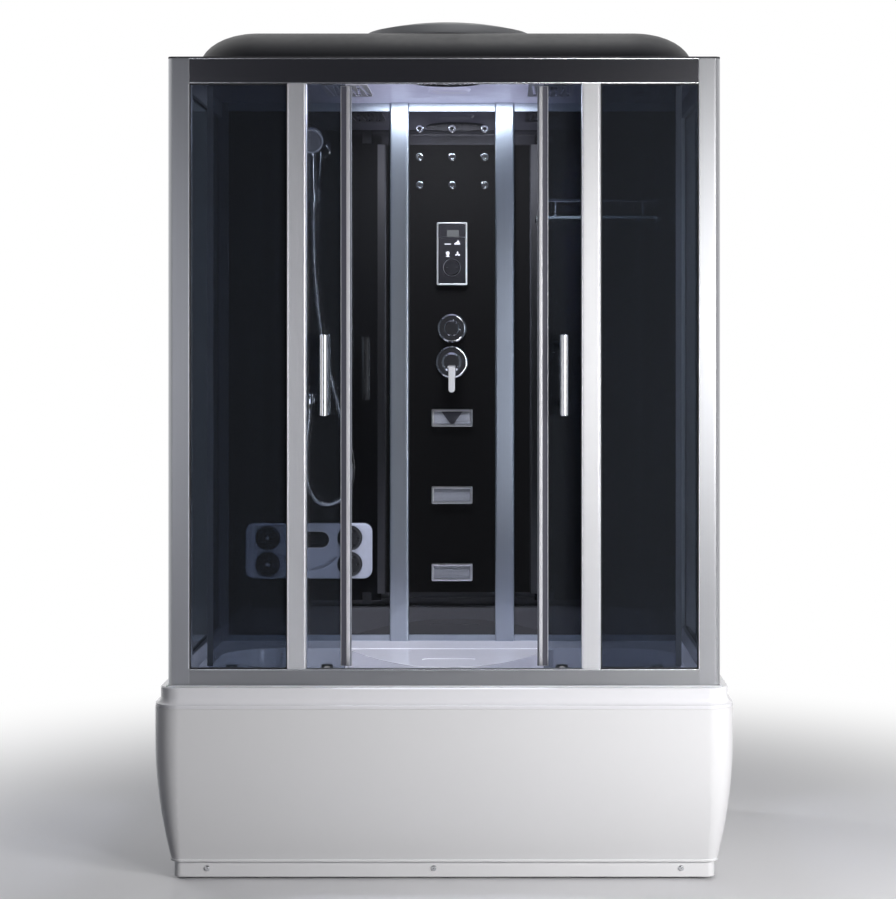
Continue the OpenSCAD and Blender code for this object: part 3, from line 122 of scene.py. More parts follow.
water_marks, way_in, way_out = new_group(
    "water_marks", [("Vector", "Vector", None), ("Scale", "Float", 8.0)],
    [("Mask", "Float"), ("Height", "Float")])
broad = noise_node(water_marks, 3.0, 0.55)
fine = noise_node(water_marks, 2.0, 0.5)
finer = math_node(water_marks, "MULTIPLY", 9.0)
both = water_marks.nodes.new("ShaderNodeMix")
both.inputs["Factor"].default_value = 0.35
spread = smooth_range(water_marks, 0.2, 0.8, kind="SMOOTHERSTEP")
water_marks.links.new(way_in.outputs["Vector"], broad.inputs["Vector"])
water_marks.links.new(way_in.outputs["Vector"], fine.inputs["Vector"])
water_marks.links.new(way_in.outputs["Scale"], broad.inputs["Scale"])
water_marks.links.new(way_in.outputs["Scale"], finer.inputs[0])
water_marks.links.new(finer.outputs[0], fine.inputs["Scale"])
water_marks.links.new(broad.outputs["Fac"], both.inputs["A"])
water_marks.links.new(fine.outputs["Fac"], both.inputs["B"])
water_marks.links.new(both.outputs["Result"], spread.inputs["Value"])
water_marks.links.new(spread.outputs["Result"], way_out.inputs["Mask"])
water_marks.links.new(fine.outputs["Fac"], way_out.inputs["Height"])


def finish(name, colour, metallic=0.0, roughness=(0.2, 0.3), tone=0.9, marks=water_marks,
           scale=8.0, stretch=(1, 1, 1), bump=0.0, bump_size=0.0004, **sockets):
    """A material whose roughness and tone run between two values as its marks say."""
    material = bpy.data.materials.new(name)
    material.use_nodes = True
    tree = material.node_tree
    shader = tree.nodes["Principled BSDF"]
    shader.inputs["Metallic"].default_value = metallic
    for socket, value in sockets.items():
        shader.inputs[socket.replace("_", " ")].default_value = value
    place = tree.nodes.new("ShaderNodeTexCoord")
    mapping = tree.nodes.new("ShaderNodeMapping")
    mapping.inputs["Scale"].default_value = stretch
    group = tree.nodes.new("ShaderNodeGroup")
    group.node_tree = marks
    group.inputs["Scale"].default_value = scale
    rough = tree.nodes.new("ShaderNodeMapRange")
    rough.inputs["To Min"].default_value = roughness[0]
    rough.inputs["To Max"].default_value = roughness[1]
    paint = tree.nodes.new("ShaderNodeMix")
    paint.data_type = "RGBA"
    paint.inputs["A"].default_value = (*colour, 1)
    paint.inputs["B"].default_value = (*[c * tone for c in colour], 1)
    tree.links.new(place.outputs["Object"], mapping.inputs["Vector"])
    tree.links.new(mapping.outputs["Vector"], group.inputs["Vector"])
    tree.links.new(group.outputs["Mask"], rough.inputs["Value"])
    tree.links.new(group.outputs["Mask"], paint.inputs["Factor"])
    tree.links.new(rough.outputs["Result"], shader.inputs["Roughness"])
    tree.links.new(paint.outputs["Result"], shader.inputs["Base Color"])
    if bump:
        relief = tree.nodes.new("ShaderNodeBump")
        relief.inputs["Strength"].default_value = bump
        relief.inputs["Distance"].default_value = bump_size
        tree.links.new(group.outputs["Height"], relief.inputs["Height"])
        tree.links.new(relief.outputs["Normal"], shader.inputs["Normal"])
    return material


hose_route = [
    (-0.4100, 0.3502, 1.7933), (-0.4100, 0.3539, 1.7785), (-0.410, 0.358, 1.755),
    (-0.410, 0.362, 1.700), (-0.408, 0.364, 1.620), (-0.402, 0.365, 1.540),
    (-0.392, 0.365, 1.450), (-0.376, 0.365, 1.360), (-0.355, 0.365, 1.270),
    (-0.332, 0.365, 1.180), (-0.312, 0.365, 1.095), (-0.300, 0.365, 1.020),
    (-0.306, 0.365, 0.962), (-0.332, 0.365, 0.926), (-0.370, 0.365, 0.912),
    (-0.405, 0.366, 0.926), (-0.426, 0.367, 0.968), (-0.434, 0.368, 1.030),
    (-0.432, 0.368, 1.100), (-0.426, 0.368, 1.155), (-0.424, 0.368, 1.180),
    (-0.424, 0.368, 1.1947)]
hose_r = 0.007
hose_pitch = 0.0052
hose_sides = 16
crests = (0.0, 0.0, 0.0009, 0.0009)  # two rings on each rib's crest and two in the groove
plain = 10  # rings without ribs at each end, where the ferrules grip


def route_point(points, u):
    """A point on the smooth curve through the points, as the hose's solid follows it."""
    last = len(points) - 1
    i = min(int(u), last - 1)
    t = u - i
    a, b, c, d = (Vector(points[k]) for k in (max(i - 1, 0), i, i + 1, min(i + 2, last)))
    return 0.5 * (2 * b + (c - a) * t + (2 * a - 5 * b + 4 * c - d) * t * t
                  + (3 * b - a - 3 * c + d) * t ** 3)


def even_path(points, step):
    """Points along the curve, an equal step apart."""
    fine_points = [route_point(points, k / 60) for k in range(60 * (len(points) - 1) + 1)]
    along = [0.0]
    for a, b in zip(fine_points, fine_points[1:]):
        along.append(along[-1] + (b - a).length)
    count = round(along[-1] / step)
    path = []
    k = 0
    for n in range(count + 1):
        want = along[-1] * n / count
        while k < len(along) - 2 and along[k + 1] < want:
            k += 1
        share = (want - along[k]) / (along[k + 1] - along[k])
        path.append(fine_points[k].lerp(fine_points[k + 1], share))
    return path, along[-1]


hose_path, hose_length = even_path(hose_route, hose_pitch / 4)
hose_mesh = bpy.data.meshes.new("ribbed_hose")
hose_points = []
for n, point in enumerate(hose_path):
    ahead = hose_path[min(n + 1, len(hose_path) - 1)]
    behind = hose_path[max(n - 1, 0)]
    along = (ahead - behind).normalized()
    across = along.cross(Vector((0, 1, 0))).normalized()
    up = along.cross(across)
    crest = crests[n % 4]
    if n < plain or n > len(hose_path) - plain:
        crest = 0.0
    for k in range(hose_sides):
        turn = 2 * math.pi * k / hose_sides
        reach = hose_r - crest
        hose_points.append(point + reach * (math.cos(turn) * across + math.sin(turn) * up))
hose_faces = []
for n in range(len(hose_path) - 1):
    for k in range(hose_sides):
        a = n * hose_sides + k
        b = n * hose_sides + (k + 1) % hose_sides
        hose_faces.append((a, a + hose_sides, b + hose_sides, b))
hose_faces.append(tuple(range(hose_sides)))
last_ring = (len(hose_path) - 1) * hose_sides
hose_faces.append(tuple(reversed(range(last_ring, last_ring + hose_sides))))
hose_mesh.from_pydata(hose_points, [], hose_faces)
hose_mesh.shade_smooth()
ribbed_hose = bpy.data.objects.new("ribbed_hose", hose_mesh)
bpy.context.scene.collection.objects.link(ribbed_hose)
hose_chrome = finish("hose_chrome", (0.78, 0.79, 0.81), metallic=1.0, roughness=(0.2, 0.3),
                     scale=30.0)
hose_mesh.materials.append(hose_chrome)
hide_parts("shower_hose")
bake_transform(ribbed_hose)

# The studio: a pale floor that fades into white all round, a tall soft lamp at the front right,
# weaker ones at the front left, behind and above, and the lamps inside the cabin. What the metal
# and the glass mirror in front of the cabin is a dark room with pale sides.
floor_reach = 3.6
seen_start, seen_end = 1.0, 2.8
mirrored_start, mirrored_end = 0.75, 2.6
bpy.ops.mesh.primitive_circle_add(vertices=96, radius=floor_reach, fill_type="NGON")
studio_floor = bpy.context.object
studio_floor.name = "studio_floor"
floor_paint = bpy.data.materials.new("floor_paint")
floor_paint.use_nodes = True
paint = floor_paint.node_tree
floor_shader = paint.nodes["Principled BSDF"]
floor_shader.inputs["Base Color"].default_value = (0.80, 0.80, 0.82, 1)
floor_shader.inputs["Roughness"].default_value = 0.5
white_out = paint.nodes.new("ShaderNodeEmission")
white_out.inputs["Color"].default_value = (1, 1, 1, 1)
place = paint.nodes.new("ShaderNodeTexCoord")
axes = paint.nodes.new("ShaderNodeSeparateXYZ")
mirrored_fade = smooth_range(paint, mirrored_start, mirrored_end)
reach = paint.nodes.new("ShaderNodeVectorMath")
reach.operation = "LENGTH"
seen_fade = smooth_range(paint, seen_start, seen_end)
rays = paint.nodes.new("ShaderNodeLightPath")
direct = math_node(paint, "MAXIMUM")
fade = paint.nodes.new("ShaderNodeMix")
floor_mix = paint.nodes.new("ShaderNodeMixShader")
paint.links.new(place.outputs["Object"], axes.inputs[0])
paint.links.new(axes.outputs["Y"], mirrored_fade.inputs["Value"])
paint.links.new(place.outputs["Object"], reach.inputs[0])
paint.links.new(reach.outputs["Value"], seen_fade.inputs["Value"])
paint.links.new(rays.outputs["Is Camera Ray"], direct.inputs[0])
paint.links.new(rays.outputs["Is Transmission Ray"], direct.inputs[1])
paint.links.new(direct.outputs[0], fade.inputs["Factor"])
paint.links.new(mirrored_fade.outputs["Result"], fade.inputs["A"])
paint.links.new(seen_fade.outputs["Result"], fade.inputs["B"])
paint.links.new(fade.outputs["Result"], floor_mix.inputs["Fac"])
paint.links.new(floor_shader.outputs[0], floor_mix.inputs[1])
paint.links.new(white_out.outputs[0], floor_mix.inputs[2])
paint.links.new(floor_mix.outputs[0], paint.nodes["Material Output"].inputs["Surface"])
studio_floor.data.materials.append(floor_paint)
studio_floor.visible_diffuse = False

world = bpy.data.worlds.new("studio_air")
world.use_nodes = True
bpy.context.scene.world = world
air = world.node_tree
light_air = air.nodes["Background"]
light_air.inputs["Color"].default_value = (0.86, 0.89, 1.0, 1)
light_air.inputs["Strength"].default_value = 0.07
seen_air = air.nodes.new("ShaderNodeBackground")
seen_air.inputs["Strength"].default_value = 1.0
compass = air.nodes.new("ShaderNodeTexCoord")
facing = air.nodes.new("ShaderNodeSeparateXYZ")
front_dark = smooth_range(air, -0.55, 0.45)
side_way = math_node(air, "ABSOLUTE")
side_white = smooth_range(air, 0.40, 0.98, end=0.7)
paler = math_node(air, "MAXIMUM")
room_tone = air.nodes.new("ShaderNodeMix")
room_tone.data_type = "RGBA"
room_tone.inputs["A"].default_value = (0.035, 0.036, 0.042, 1)
room_tone.inputs["B"].default_value = (1, 1, 1, 1)
rays = air.nodes.new("ShaderNodeLightPath")
white_too = math_node(air, "MAXIMUM")
seen = math_node(air, "MAXIMUM")
seen_through = math_node(air, "MAXIMUM")
choose = air.nodes.new("ShaderNodeMixShader")
air.links.new(compass.outputs["Generated"], facing.inputs[0])
air.links.new(facing.outputs["Y"], front_dark.inputs["Value"])
air.links.new(facing.outputs["X"], side_way.inputs[0])
air.links.new(side_way.outputs[0], side_white.inputs["Value"])
air.links.new(side_white.outputs["Result"], paler.inputs[0])
air.links.new(front_dark.outputs["Result"], paler.inputs[1])
air.links.new(paler.outputs[0], white_too.inputs[0])
air.links.new(rays.outputs["Is Camera Ray"], white_too.inputs[1])
air.links.new(white_too.outputs[0], room_tone.inputs["Factor"])
air.links.new(room_tone.outputs["Result"], seen_air.inputs["Color"])
air.links.new(rays.outputs["Is Camera Ray"], seen.inputs[0])
air.links.new(rays.outputs["Is Glossy Ray"], seen.inputs[1])
air.links.new(seen.outputs[0], seen_through.inputs[0])
air.links.new(rays.outputs["Is Transmission Ray"], seen_through.inputs[1])
air.links.new(seen_through.outputs[0], choose.inputs["Fac"])
air.links.new(light_air.outputs[0], choose.inputs[1])
air.links.new(seen_air.outputs[0], choose.inputs[2])
air.links.new(choose.outputs[0], air.nodes["World Output"].inputs["Surface"])


def soft_lamp(name, place, aim, size, power, colour, mirrored=True):
    """A lamp of two sides that points at aim and fades towards its edges, mirrored or not."""
    bpy.ops.object.light_add(type="AREA", location=place)
    lamp = bpy.context.object
    lamp.name = name
    lamp.data.shape = "RECTANGLE"
    lamp.data.size, lamp.data.size_y = size
    lamp.data.energy = power
    lamp.data.color = colour
    lamp.rotation_euler = (Vector(aim) - Vector(place)).to_track_quat("-Z", "Y").to_euler()
    lamp.visible_glossy = mirrored
    lamp.data.use_nodes = True
    tree = lamp.data.node_tree
    spot = tree.nodes.new("ShaderNodeNewGeometry")
    sides = tree.nodes.new("ShaderNodeSeparateXYZ")
    both = math_node(tree, "MULTIPLY")
    middle = 1.54  # brighter in the middle by what the fade takes away, so the power holds
    tree.links.new(spot.outputs["Parametric"], sides.inputs[0])
    for number in (0, 1):
        off = math_node(tree, "SUBTRACT", 0.5)
        far = math_node(tree, "ABSOLUTE")
        fade = smooth_range(tree, 0.5, 0.15, end=middle)
        tree.links.new(sides.outputs[number], off.inputs[0])
        tree.links.new(off.outputs[0], far.inputs[0])
        tree.links.new(far.outputs[0], fade.inputs["Value"])
        tree.links.new(fade.outputs["Result"], both.inputs[number])
    tree.links.new(both.outputs[0], tree.nodes["Emission"].inputs["Strength"])
    return lamp


def lights_only(lit, pieces, *lamps):
    """Lets lamps light only these pieces, which a new collection of the name lit holds."""
    collection = bpy.data.collections.new(lit)
    for piece in pieces:
        collection.objects.link(piece)
    for lamp in lamps:
        lamp.light_linking.receiver_collection = collection
    return collection


soft_lamp("tall_right_lamp", (1.62, -3.4, 1.50), (0.55, -0.4, 1.30), (1.0, 1.6), 39,
          (1.0, 0.99, 0.98))
soft_lamp("wide_right_lamp", (2.35, -2.5, 1.1), (0.6, -0.4, 0.5), (1.3, 1.3), 75,
          (1.0, 0.99, 0.98), mirrored=False)
slim_left_lamp = soft_lamp("slim_left_lamp", (-1.62, -3.4, 1.35), (-0.7, -0.4, 1.25),
                           (0.45, 2.6), 7.2, (0.92, 0.93, 1.0))
soft_lamp("left_back_lamp", (-3.2, 2.4, 1.9), (-0.6, 0.3, 0.8), (1.6, 1.6), 50,
          (1.0, 1.0, 1.0), mirrored=False)
soft_lamp("top_lamp", (0.3, 0.4, 4.6), (0, 0.1, 1.5), (2.0, 2.0), 8, (1.0, 1.0, 1.0))
soft_lamp("cabin_light", (0, 0.05, 2.088), (0, 0.05, 1.0), (0.5, 0.5), 27, (0.84, 0.86, 1.0),
          mirrored=False)
column_light = soft_lamp("column_light", (0, 0.25, 2.092), (0, 0.34, 1.2), (0.62, 0.07), 2.8,
                         (0.82, 0.90, 1.0))
door_side_light = soft_lamp("door_side_light", (0.20, -0.32, 1.30), (0.157, 0.39, 1.30),
                            (0.06, 1.3), 0.45, (0.86, 0.90, 1.0))
chrome_light = soft_lamp("chrome_light", (0.17, -0.28, 1.45), (0, 0.36, 1.45), (0.05, 1.2), 2.4,
                         (0.94, 0.96, 1.0))
frame_light = soft_lamp("frame_light", (0, 0.30, 2.04), (0, -0.4, 1.3), (0.7, 0.16), 2.2,
                        (0.86, 0.88, 1.0))
columns = nodes["back_profiles"]
fittings = [nodes[name] for name in (
    "jet_rings", "back_jet_frames", "panel_frame", "control_plates", "diverter_knob",
    "mixer_cap", "mixer_lever", "hand_shower", "shower_holder", "wall_elbow", "shelf_rail")]
lights_only("lit_metal", [columns, *fittings], column_light)
lights_only("lit_columns", [columns], door_side_light)
lights_only("lit_chrome", [*fittings, ribbed_hose], chrome_light)
front_metal = [nodes[name] for name in (
    "front_posts", "top_rail", "low_rail", "fixed_stiles", "left_door_stile",
    "right_door_stile", "left_door_handle", "right_door_handle")]
lit_frame = lights_only("lit_frame", front_metal, frame_light, slim_left_lamp)

# The tub: one vacuum-formed shell of gloss white acrylic, backed with resin and glass fibre. Its
# edges are all rounded by the mould.
def dress(material, *names, soften=0.0, segments=2, angle=30):
    """Gives CAD nodes a finish and, where asked, the small rounded edges of the real piece."""
    for name in names:
        node = nodes[name]
        node.data.materials.clear()
        node.data.materials.append(material)
        if "custom_normal" in node.data.attributes:
            node.data.attributes.remove(node.data.attributes["custom_normal"])
        node.data.shade_smooth()
        weld = node.modifiers.new("weld", "WELD")
        weld.merge_threshold = 0.00002
        if soften:
            flat = node.modifiers.new("flats", "DECIMATE")
            flat.decimate_type = "DISSOLVE"
            flat.angle_limit = math.radians(0.4)
            edge = node.modifiers.new("edges", "BEVEL")
            edge.width = soften
            edge.segments = segments
            edge.limit_method = "ANGLE"
            edge.angle_limit = math.radians(angle)
            edge.harden_normals = True
        level = node.modifiers.new("level", "WEIGHTED_NORMAL")
        level.keep_sharp = True
        level.weight = 80


acrylic = finish("white_acrylic", (0.86, 0.86, 0.90), roughness=(0.10, 0.18), tone=0.985,
                 scale=5.0, Coat_Weight=0.4, Coat_Roughness=0.05)
dress(acrylic, "tub", soften=0.007, segments=4, angle=28)

# The skirt: white ABS mouldings screwed to the tub's frame, slightly less glossy than the tub.
# Three chrome screws with cross recesses and cover washers hold its kick strip. A black cross laid
# in each recess is painted shade.
skirt_white = finish("skirt_white", (0.82, 0.82, 0.84), roughness=(0.30, 0.34), tone=0.99,
                     scale=3.0, Coat_Weight=0.25, Coat_Roughness=0.1)
dress(skirt_white, "front_skirt", "side_skirts", soften=0.0015, segments=2, angle=30)
chrome = finish("polished_chrome", (0.80, 0.81, 0.83), metallic=1.0, roughness=(0.04, 0.09),
                scale=25.0)
dress(chrome, "skirt_screws", soften=0.0006)
shadow_black = finish("shadow_black", (0.01, 0.01, 0.011), roughness=(0.5, 0.7), scale=90.0)


def started(name, shape, place, scale, turn=(0, 0, 0), **options):
    """Adds a primitive at its size and place, with its object left at the origin."""
    bpy.ops.object.select_all(action="DESELECT")
    if shape in ("cube", "plane"):
        options["size"] = 1
    getattr(bpy.ops.mesh, "primitive_" + shape + "_add")(**options)
    piece = bpy.context.object
    piece.name = name
    piece.scale = scale
    bpy.ops.object.transform_apply(location=False, rotation=False, scale=True)
    piece.rotation_euler = [math.radians(a) for a in turn]
    piece.location = place
    bpy.ops.object.transform_apply(location=True, rotation=True, scale=False)
    return piece


def opened(piece, wanted, kind="face"):
    """Opens a piece in edit mode with only the faces, or the edges, that are wanted selected."""
    bpy.context.tool_settings.mesh_select_mode = (False, kind == "edge", kind == "face")
    bpy.ops.object.mode_set(mode="EDIT")
    bpy.ops.mesh.select_all(action="DESELECT")
    bpy.ops.object.mode_set(mode="OBJECT")
    if kind == "face":
        for face in piece.data.polygons:
            face.select = wanted(face.center, face.normal)
    else:
        for edge in piece.data.edges:
            edge.select = all(wanted(piece.data.vertices[v].co) for v in edge.vertices)
    bpy.ops.object.mode_set(mode="EDIT")


def applied(piece, kind, **values):
    """Gives a piece one modifier and applies it."""
    bpy.ops.object.mode_set(mode="OBJECT")
    modifier = piece.modifiers.new(kind.lower(), kind)
    for name, value in values.items():
        setattr(modifier, name, value)
    bpy.ops.object.modifier_apply(modifier=modifier.name)


def fitted(piece, material, body, soften=0.0, segments=2):
    """Softens a piece's edges, shades it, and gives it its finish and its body."""
    bpy.ops.object.mode_set(mode="OBJECT")
    if soften:
        applied(piece, "BEVEL", width=soften, segments=segments, limit_method="ANGLE",
                angle_limit=math.radians(30))
    bpy.ops.object.shade_smooth_by_angle(angle=math.radians(35))
    piece.data.materials.append(material)
    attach(piece, body)


def copied(piece, name, body, move=(0, 0, 0), mirrored=False):
    """A copy with its own mesh, moved, or mirrored left to right."""
    twin = piece.copy()
    twin.data = piece.data.copy()
    twin.name = name
    bpy.context.scene.collection.objects.link(twin)
    if mirrored:
        twin.data.transform(Matrix.Scale(-1, 4, (1, 0, 0)))
        twin.data.flip_normals()
    twin.data.transform(Matrix.Translation(move))
    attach(twin, body)
    return twin


# A black cross in each screw head: painted shade where its recess falls dark.
recess_shade = started("screw_recess_middle", "cube", (-0.027, -0.4055, 0.0305), (0.0013, 0.0006, 0.0013))
opened(recess_shade, lambda c, n: abs(n.y) < 0.5)
bpy.ops.mesh.extrude_faces_move(TRANSFORM_OT_shrink_fatten={"value": -0.0016})
fitted(recess_shade, shadow_black, "cabin")
copied(recess_shade, "screw_recess_left", "cabin", move=(-0.586, 0, 0))
copied(recess_shade, "screw_recess_right", "cabin", move=(0.640, 0, 0))

# The frame: drawn aluminium, satin anodised, with fine lines along each length. Uprights and cross
# rails have the same drawn lines turned with the length of the piece, but their base tones differ
# as painted light and shade: the stiles are near white as painted light, and the top rail is darker
# as painted shade. The top rail is bright dipped, so it mirrors the dark room. Polished beads line
# the rails, stiles and posts.
drawn_lines, way_in, way_out = new_group(
    "drawn_lines", [("Vector", "Vector", None), ("Scale", "Float", 900.0)],
    [("Mask", "Float"), ("Height", "Float")])
lines = noise_node(drawn_lines, 2.0, 0.6)
drawn_lines.links.new(way_in.outputs["Vector"], lines.inputs["Vector"])
drawn_lines.links.new(way_in.outputs["Scale"], lines.inputs["Scale"])
drawn_lines.links.new(lines.outputs["Fac"], way_out.inputs["Mask"])
drawn_lines.links.new(lines.outputs["Fac"], way_out.inputs["Height"])
post_aluminium = finish("post_aluminium", (0.52, 0.53, 0.555), metallic=1.0,
                        roughness=(0.33, 0.42), tone=0.94, marks=drawn_lines, scale=600.0,
                        stretch=(1, 1, 0.004), bump=0.08, bump_size=0.0002)
# The stiles' near white base is painted light.
stile_painted_light_aluminium = finish("stile_painted_light_aluminium", (0.97, 0.975, 1.0), metallic=1.0,
                         roughness=(0.37, 0.46), tone=0.94, marks=drawn_lines, scale=600.0,
                         stretch=(1, 1, 0.004), bump=0.08, bump_size=0.0002)
low_aluminium = finish("low_rail_aluminium", (0.50, 0.51, 0.53), metallic=1.0,
                       roughness=(0.28, 0.38), tone=0.94, marks=drawn_lines, scale=600.0,
                       stretch=(0.004, 1, 1), bump=0.08, bump_size=0.0002)
# The top rail's darker base is painted shade.
top_rail_painted_shade_aluminium = finish("bright_dipped_painted_shade_aluminium", (0.38, 0.38, 0.41), metallic=1.0,
                          roughness=(0.16, 0.22), tone=0.9, marks=drawn_lines, scale=600.0,
                          stretch=(0.004, 1, 1), bump=0.03, bump_size=0.0002)
side_aluminium = finish("side_aluminium", (0.62, 0.63, 0.66), metallic=1.0,
                        roughness=(0.28, 0.38), tone=0.94, marks=drawn_lines, scale=600.0,
                        stretch=(1, 0.004, 1), bump=0.08, bump_size=0.0002)
dress(post_aluminium, "front_posts", "back_posts", soften=0.0008)
dress(stile_painted_light_aluminium, "fixed_stiles", "left_door_stile", "right_door_stile", soften=0.0008)
dress(low_aluminium, "low_rail", soften=0.0008)
dress(top_rail_painted_shade_aluminium, "top_rail", soften=0.0006)
dress(side_aluminium, "side_rails", soften=0.0008)
bead_metal = finish("polished_bead", (0.86, 0.87, 0.90), metallic=1.0, roughness=(0.22, 0.30),
                    marks=drawn_lines, scale=600.0, stretch=(0.004, 1, 1))
bright_metal = finish("bright_bead", (0.97, 0.97, 1.0), metallic=1.0, roughness=(0.46, 0.54),
                      marks=drawn_lines, scale=600.0, stretch=(1, 1, 0.004))
bead = started("top_rail_lower_bead", "cube", (0, -0.4142, 2.0612), (1.3160, 0.0012, 0.0022))
opened(bead, lambda c, n: n.y < -0.5)
bpy.ops.mesh.inset(thickness=0.0004, depth=0.0002)
fitted(bead, bead_metal, "cabin", soften=0.0003)
copied(bead, "top_rail_upper_bead", "cabin", move=(0, 0, 0.0626))
copied(bead, "low_rail_bead", "cabin", move=(0, 0, -1.5153))
bead = started("left_stile_inner_bead", "cube", (-0.3573, -0.4144, 1.3035),
               (0.0026, 0.0018, 1.5100))
opened(bead, lambda p: p.y < -0.4150, "edge")
bpy.ops.mesh.bevel(offset=0.0011, segments=3)
fitted(bead, bright_metal, "cabin")
for name, move in (("left_stile_outer_bead", -0.0464), ("left_post_bead", -0.3020)):
    other = copied(bead, name, "cabin", move=(move, 0, 0))
    copied(other, name.replace("left", "right"), "cabin", mirrored=True)
copied(bead, "right_stile_inner_bead", "cabin", mirrored=True)

# The back profiles: bowed aluminium columns beside the controls, and the rails that clamp the
# glass panels, with a cooler anodised finish.
column_aluminium = finish("column_aluminium", (0.54, 0.59, 0.66), metallic=1.0,
                          roughness=(0.28, 0.40), tone=0.90, marks=drawn_lines, scale=600.0,
                          stretch=(1, 1, 0.004), bump=0.10, bump_size=0.0002)
dress(column_aluminium, "back_profiles", soften=0.0008)

# The silicone joint: a white bead run round the foot of the frame, where it stands on the tub's
# lip, smoothed to a hollow with a wet finger.
silicone = finish("white_silicone", (0.74, 0.74, 0.77), roughness=(0.3, 0.45), scale=60.0,
                  bump=0.1, Subsurface_Weight=0.1)


def framed(name, centre, size, turn, width, thick, corner=0.0):
    """A flat frame: a sheet with its middle cut out, given its thickness behind its face."""
    piece = started(name, "plane", centre, (*size, 1), turn)
    opened(piece, lambda c, n: True)
    if corner:
        bpy.ops.mesh.bevel(affect="VERTICES", offset=corner, segments=5)
    bpy.ops.mesh.inset(thickness=width)
    bpy.ops.mesh.delete(type="FACE")
    applied(piece, "SOLIDIFY", thickness=thick, offset=-1)
    return piece


joint = framed("frame_joint", (0, -0.0010, 0.5052), (1.4352, 0.8332), (0, 0, 0), 0.0050, 0.0034,
               corner=0.006)
opened(joint, lambda p: p.z > 0.5050 and (abs(p.x) > 0.7160 or abs(p.y + 0.001) > 0.4150), "edge")
bpy.ops.mesh.bevel(offset=0.0026, segments=3)
fitted(joint, silicone, "cabin")

# The panes: toughened glass with a grey-blue tint, 6 mm thick. Light from the lamps passes
# through with a tint and no bright patterns. Black rubber beads hold the fixed panes and the
# side panes in their channels.
def pane_glass(name, tint, passed):
    """Tinted glass that lets the share passed of the lamps' light straight through."""
    material = finish(name, tint, roughness=(0.0, 0.0), tone=1.0, scale=3.0,
                      Transmission_Weight=0.97, IOR=1.3)
    tree = material.node_tree
    shader = tree.nodes["Principled BSDF"]
    ray = tree.nodes.new("ShaderNodeLightPath")
    see = math_node(tree, "MULTIPLY_ADD", -passed, 1.0)
    tree.links.new(ray.outputs["Is Shadow Ray"], see.inputs[0])
    tree.links.new(see.outputs[0], shader.inputs["Alpha"])
    return material


tinted = pane_glass("tinted_glass", (0.27, 0.30, 0.35), 0.4)
# The side panes get a darker copy of the tint as painted shade.
side_shaded_tint = pane_glass("side_painted_shade_glass", (0.13, 0.15, 0.18), 0.4)
dress(tinted, "fixed_panes", "left_door_glass", "right_door_glass", soften=0.0006)
dress(side_shaded_tint, "side_panes", soften=0.0006)
rubber = finish("glazing_rubber", (0.015, 0.015, 0.017), roughness=(0.45, 0.6), scale=120.0,
                bump=0.1)
gasket = framed("left_front_gasket", (-0.5315, -0.4074, 1.3035), (0.2530, 1.5130), (90, 0, 0),
                0.0032, 0.0025)
fitted(gasket, rubber, "cabin", soften=0.0005)
copied(gasket, "right_front_gasket", "cabin", mirrored=True)
gasket = framed("left_side_gasket", (-0.7040, 0.0150, 1.3035), (0.7460, 1.5130), (90, 0, -90),
                0.0032, 0.0026)
fitted(gasket, rubber, "cabin", soften=0.0005)
copied(gasket, "right_side_gasket", "cabin", mirrored=True)

# The doors' fittings: chrome handles, grey nylon carriers, white wheels and soft grey seals. A dark
# strip on the front of each door stile is painted shade, for the part of the stile's front that
# faces away from the light, and a rounded bright nose is clipped beside it.
nylon = finish("grey_nylon", (0.30, 0.31, 0.33), roughness=(0.4, 0.5), scale=40.0)
white_nylon = finish("white_nylon", (0.75, 0.75, 0.74), roughness=(0.35, 0.45), scale=40.0)
seal_rubber = finish("seal_rubber", (0.22, 0.23, 0.26), roughness=(0.35, 0.5), scale=60.0)
for side in ("left", "right"):
    dress(chrome, side + "_door_handle", soften=0.0008)
    dress(nylon, side + "_door_carriers", soften=0.0006)
    dress(white_nylon, side + "_wheel_outer", side + "_wheel_inner", soften=0.0006)
    dress(seal_rubber, side + "_door_seals", soften=0.0005)
# The dark strip's colour is painted shade on the stile's front.
stile_shade_dark = finish("stile_painted_shade_strip", (0.085, 0.085, 0.11), roughness=(0.3, 0.4),
                    marks=drawn_lines, scale=500.0, stretch=(1, 1, 0.004))
shade_strip = started("left_stile_strip", "cube", (-0.2619, -0.3746, 1.3035), (0.0128, 0.0010, 1.5070))
opened(shade_strip, lambda c, n: n.y < -0.5)
bpy.ops.mesh.inset(thickness=0.0012, depth=-0.0003)
fitted(shade_strip, stile_shade_dark, "left_door", soften=0.0002)
copied(shade_strip, "right_stile_strip", "right_door", mirrored=True)
nose = started("left_stile_nose", "cube", (-0.2505, -0.3752, 1.3035), (0.0088, 0.0024, 1.5070))
opened(nose, lambda p: p.y < -0.3754, "edge")
bpy.ops.mesh.bevel(offset=0.0018, segments=4)
fitted(nose, bright_metal, "left_door")
copied(nose, "right_stile_nose", "right_door", mirrored=True)
for piece in bpy.data.objects:
    if piece.name.endswith(("_bead", "_nose")):
        lit_frame.objects.link(piece)

# The back wall: three panels of black back-painted glass with a deep gloss, clamped by the
# aluminium profiles round their edges.
black_glass = finish("black_glass", (0.0038, 0.0038, 0.0037), roughness=(0.0, 0.0), tone=1.0,
                     scale=4.0, Specular_IOR_Level=1.0, IOR=1.6)
dress(black_glass, "back_panels", soften=0.0005)

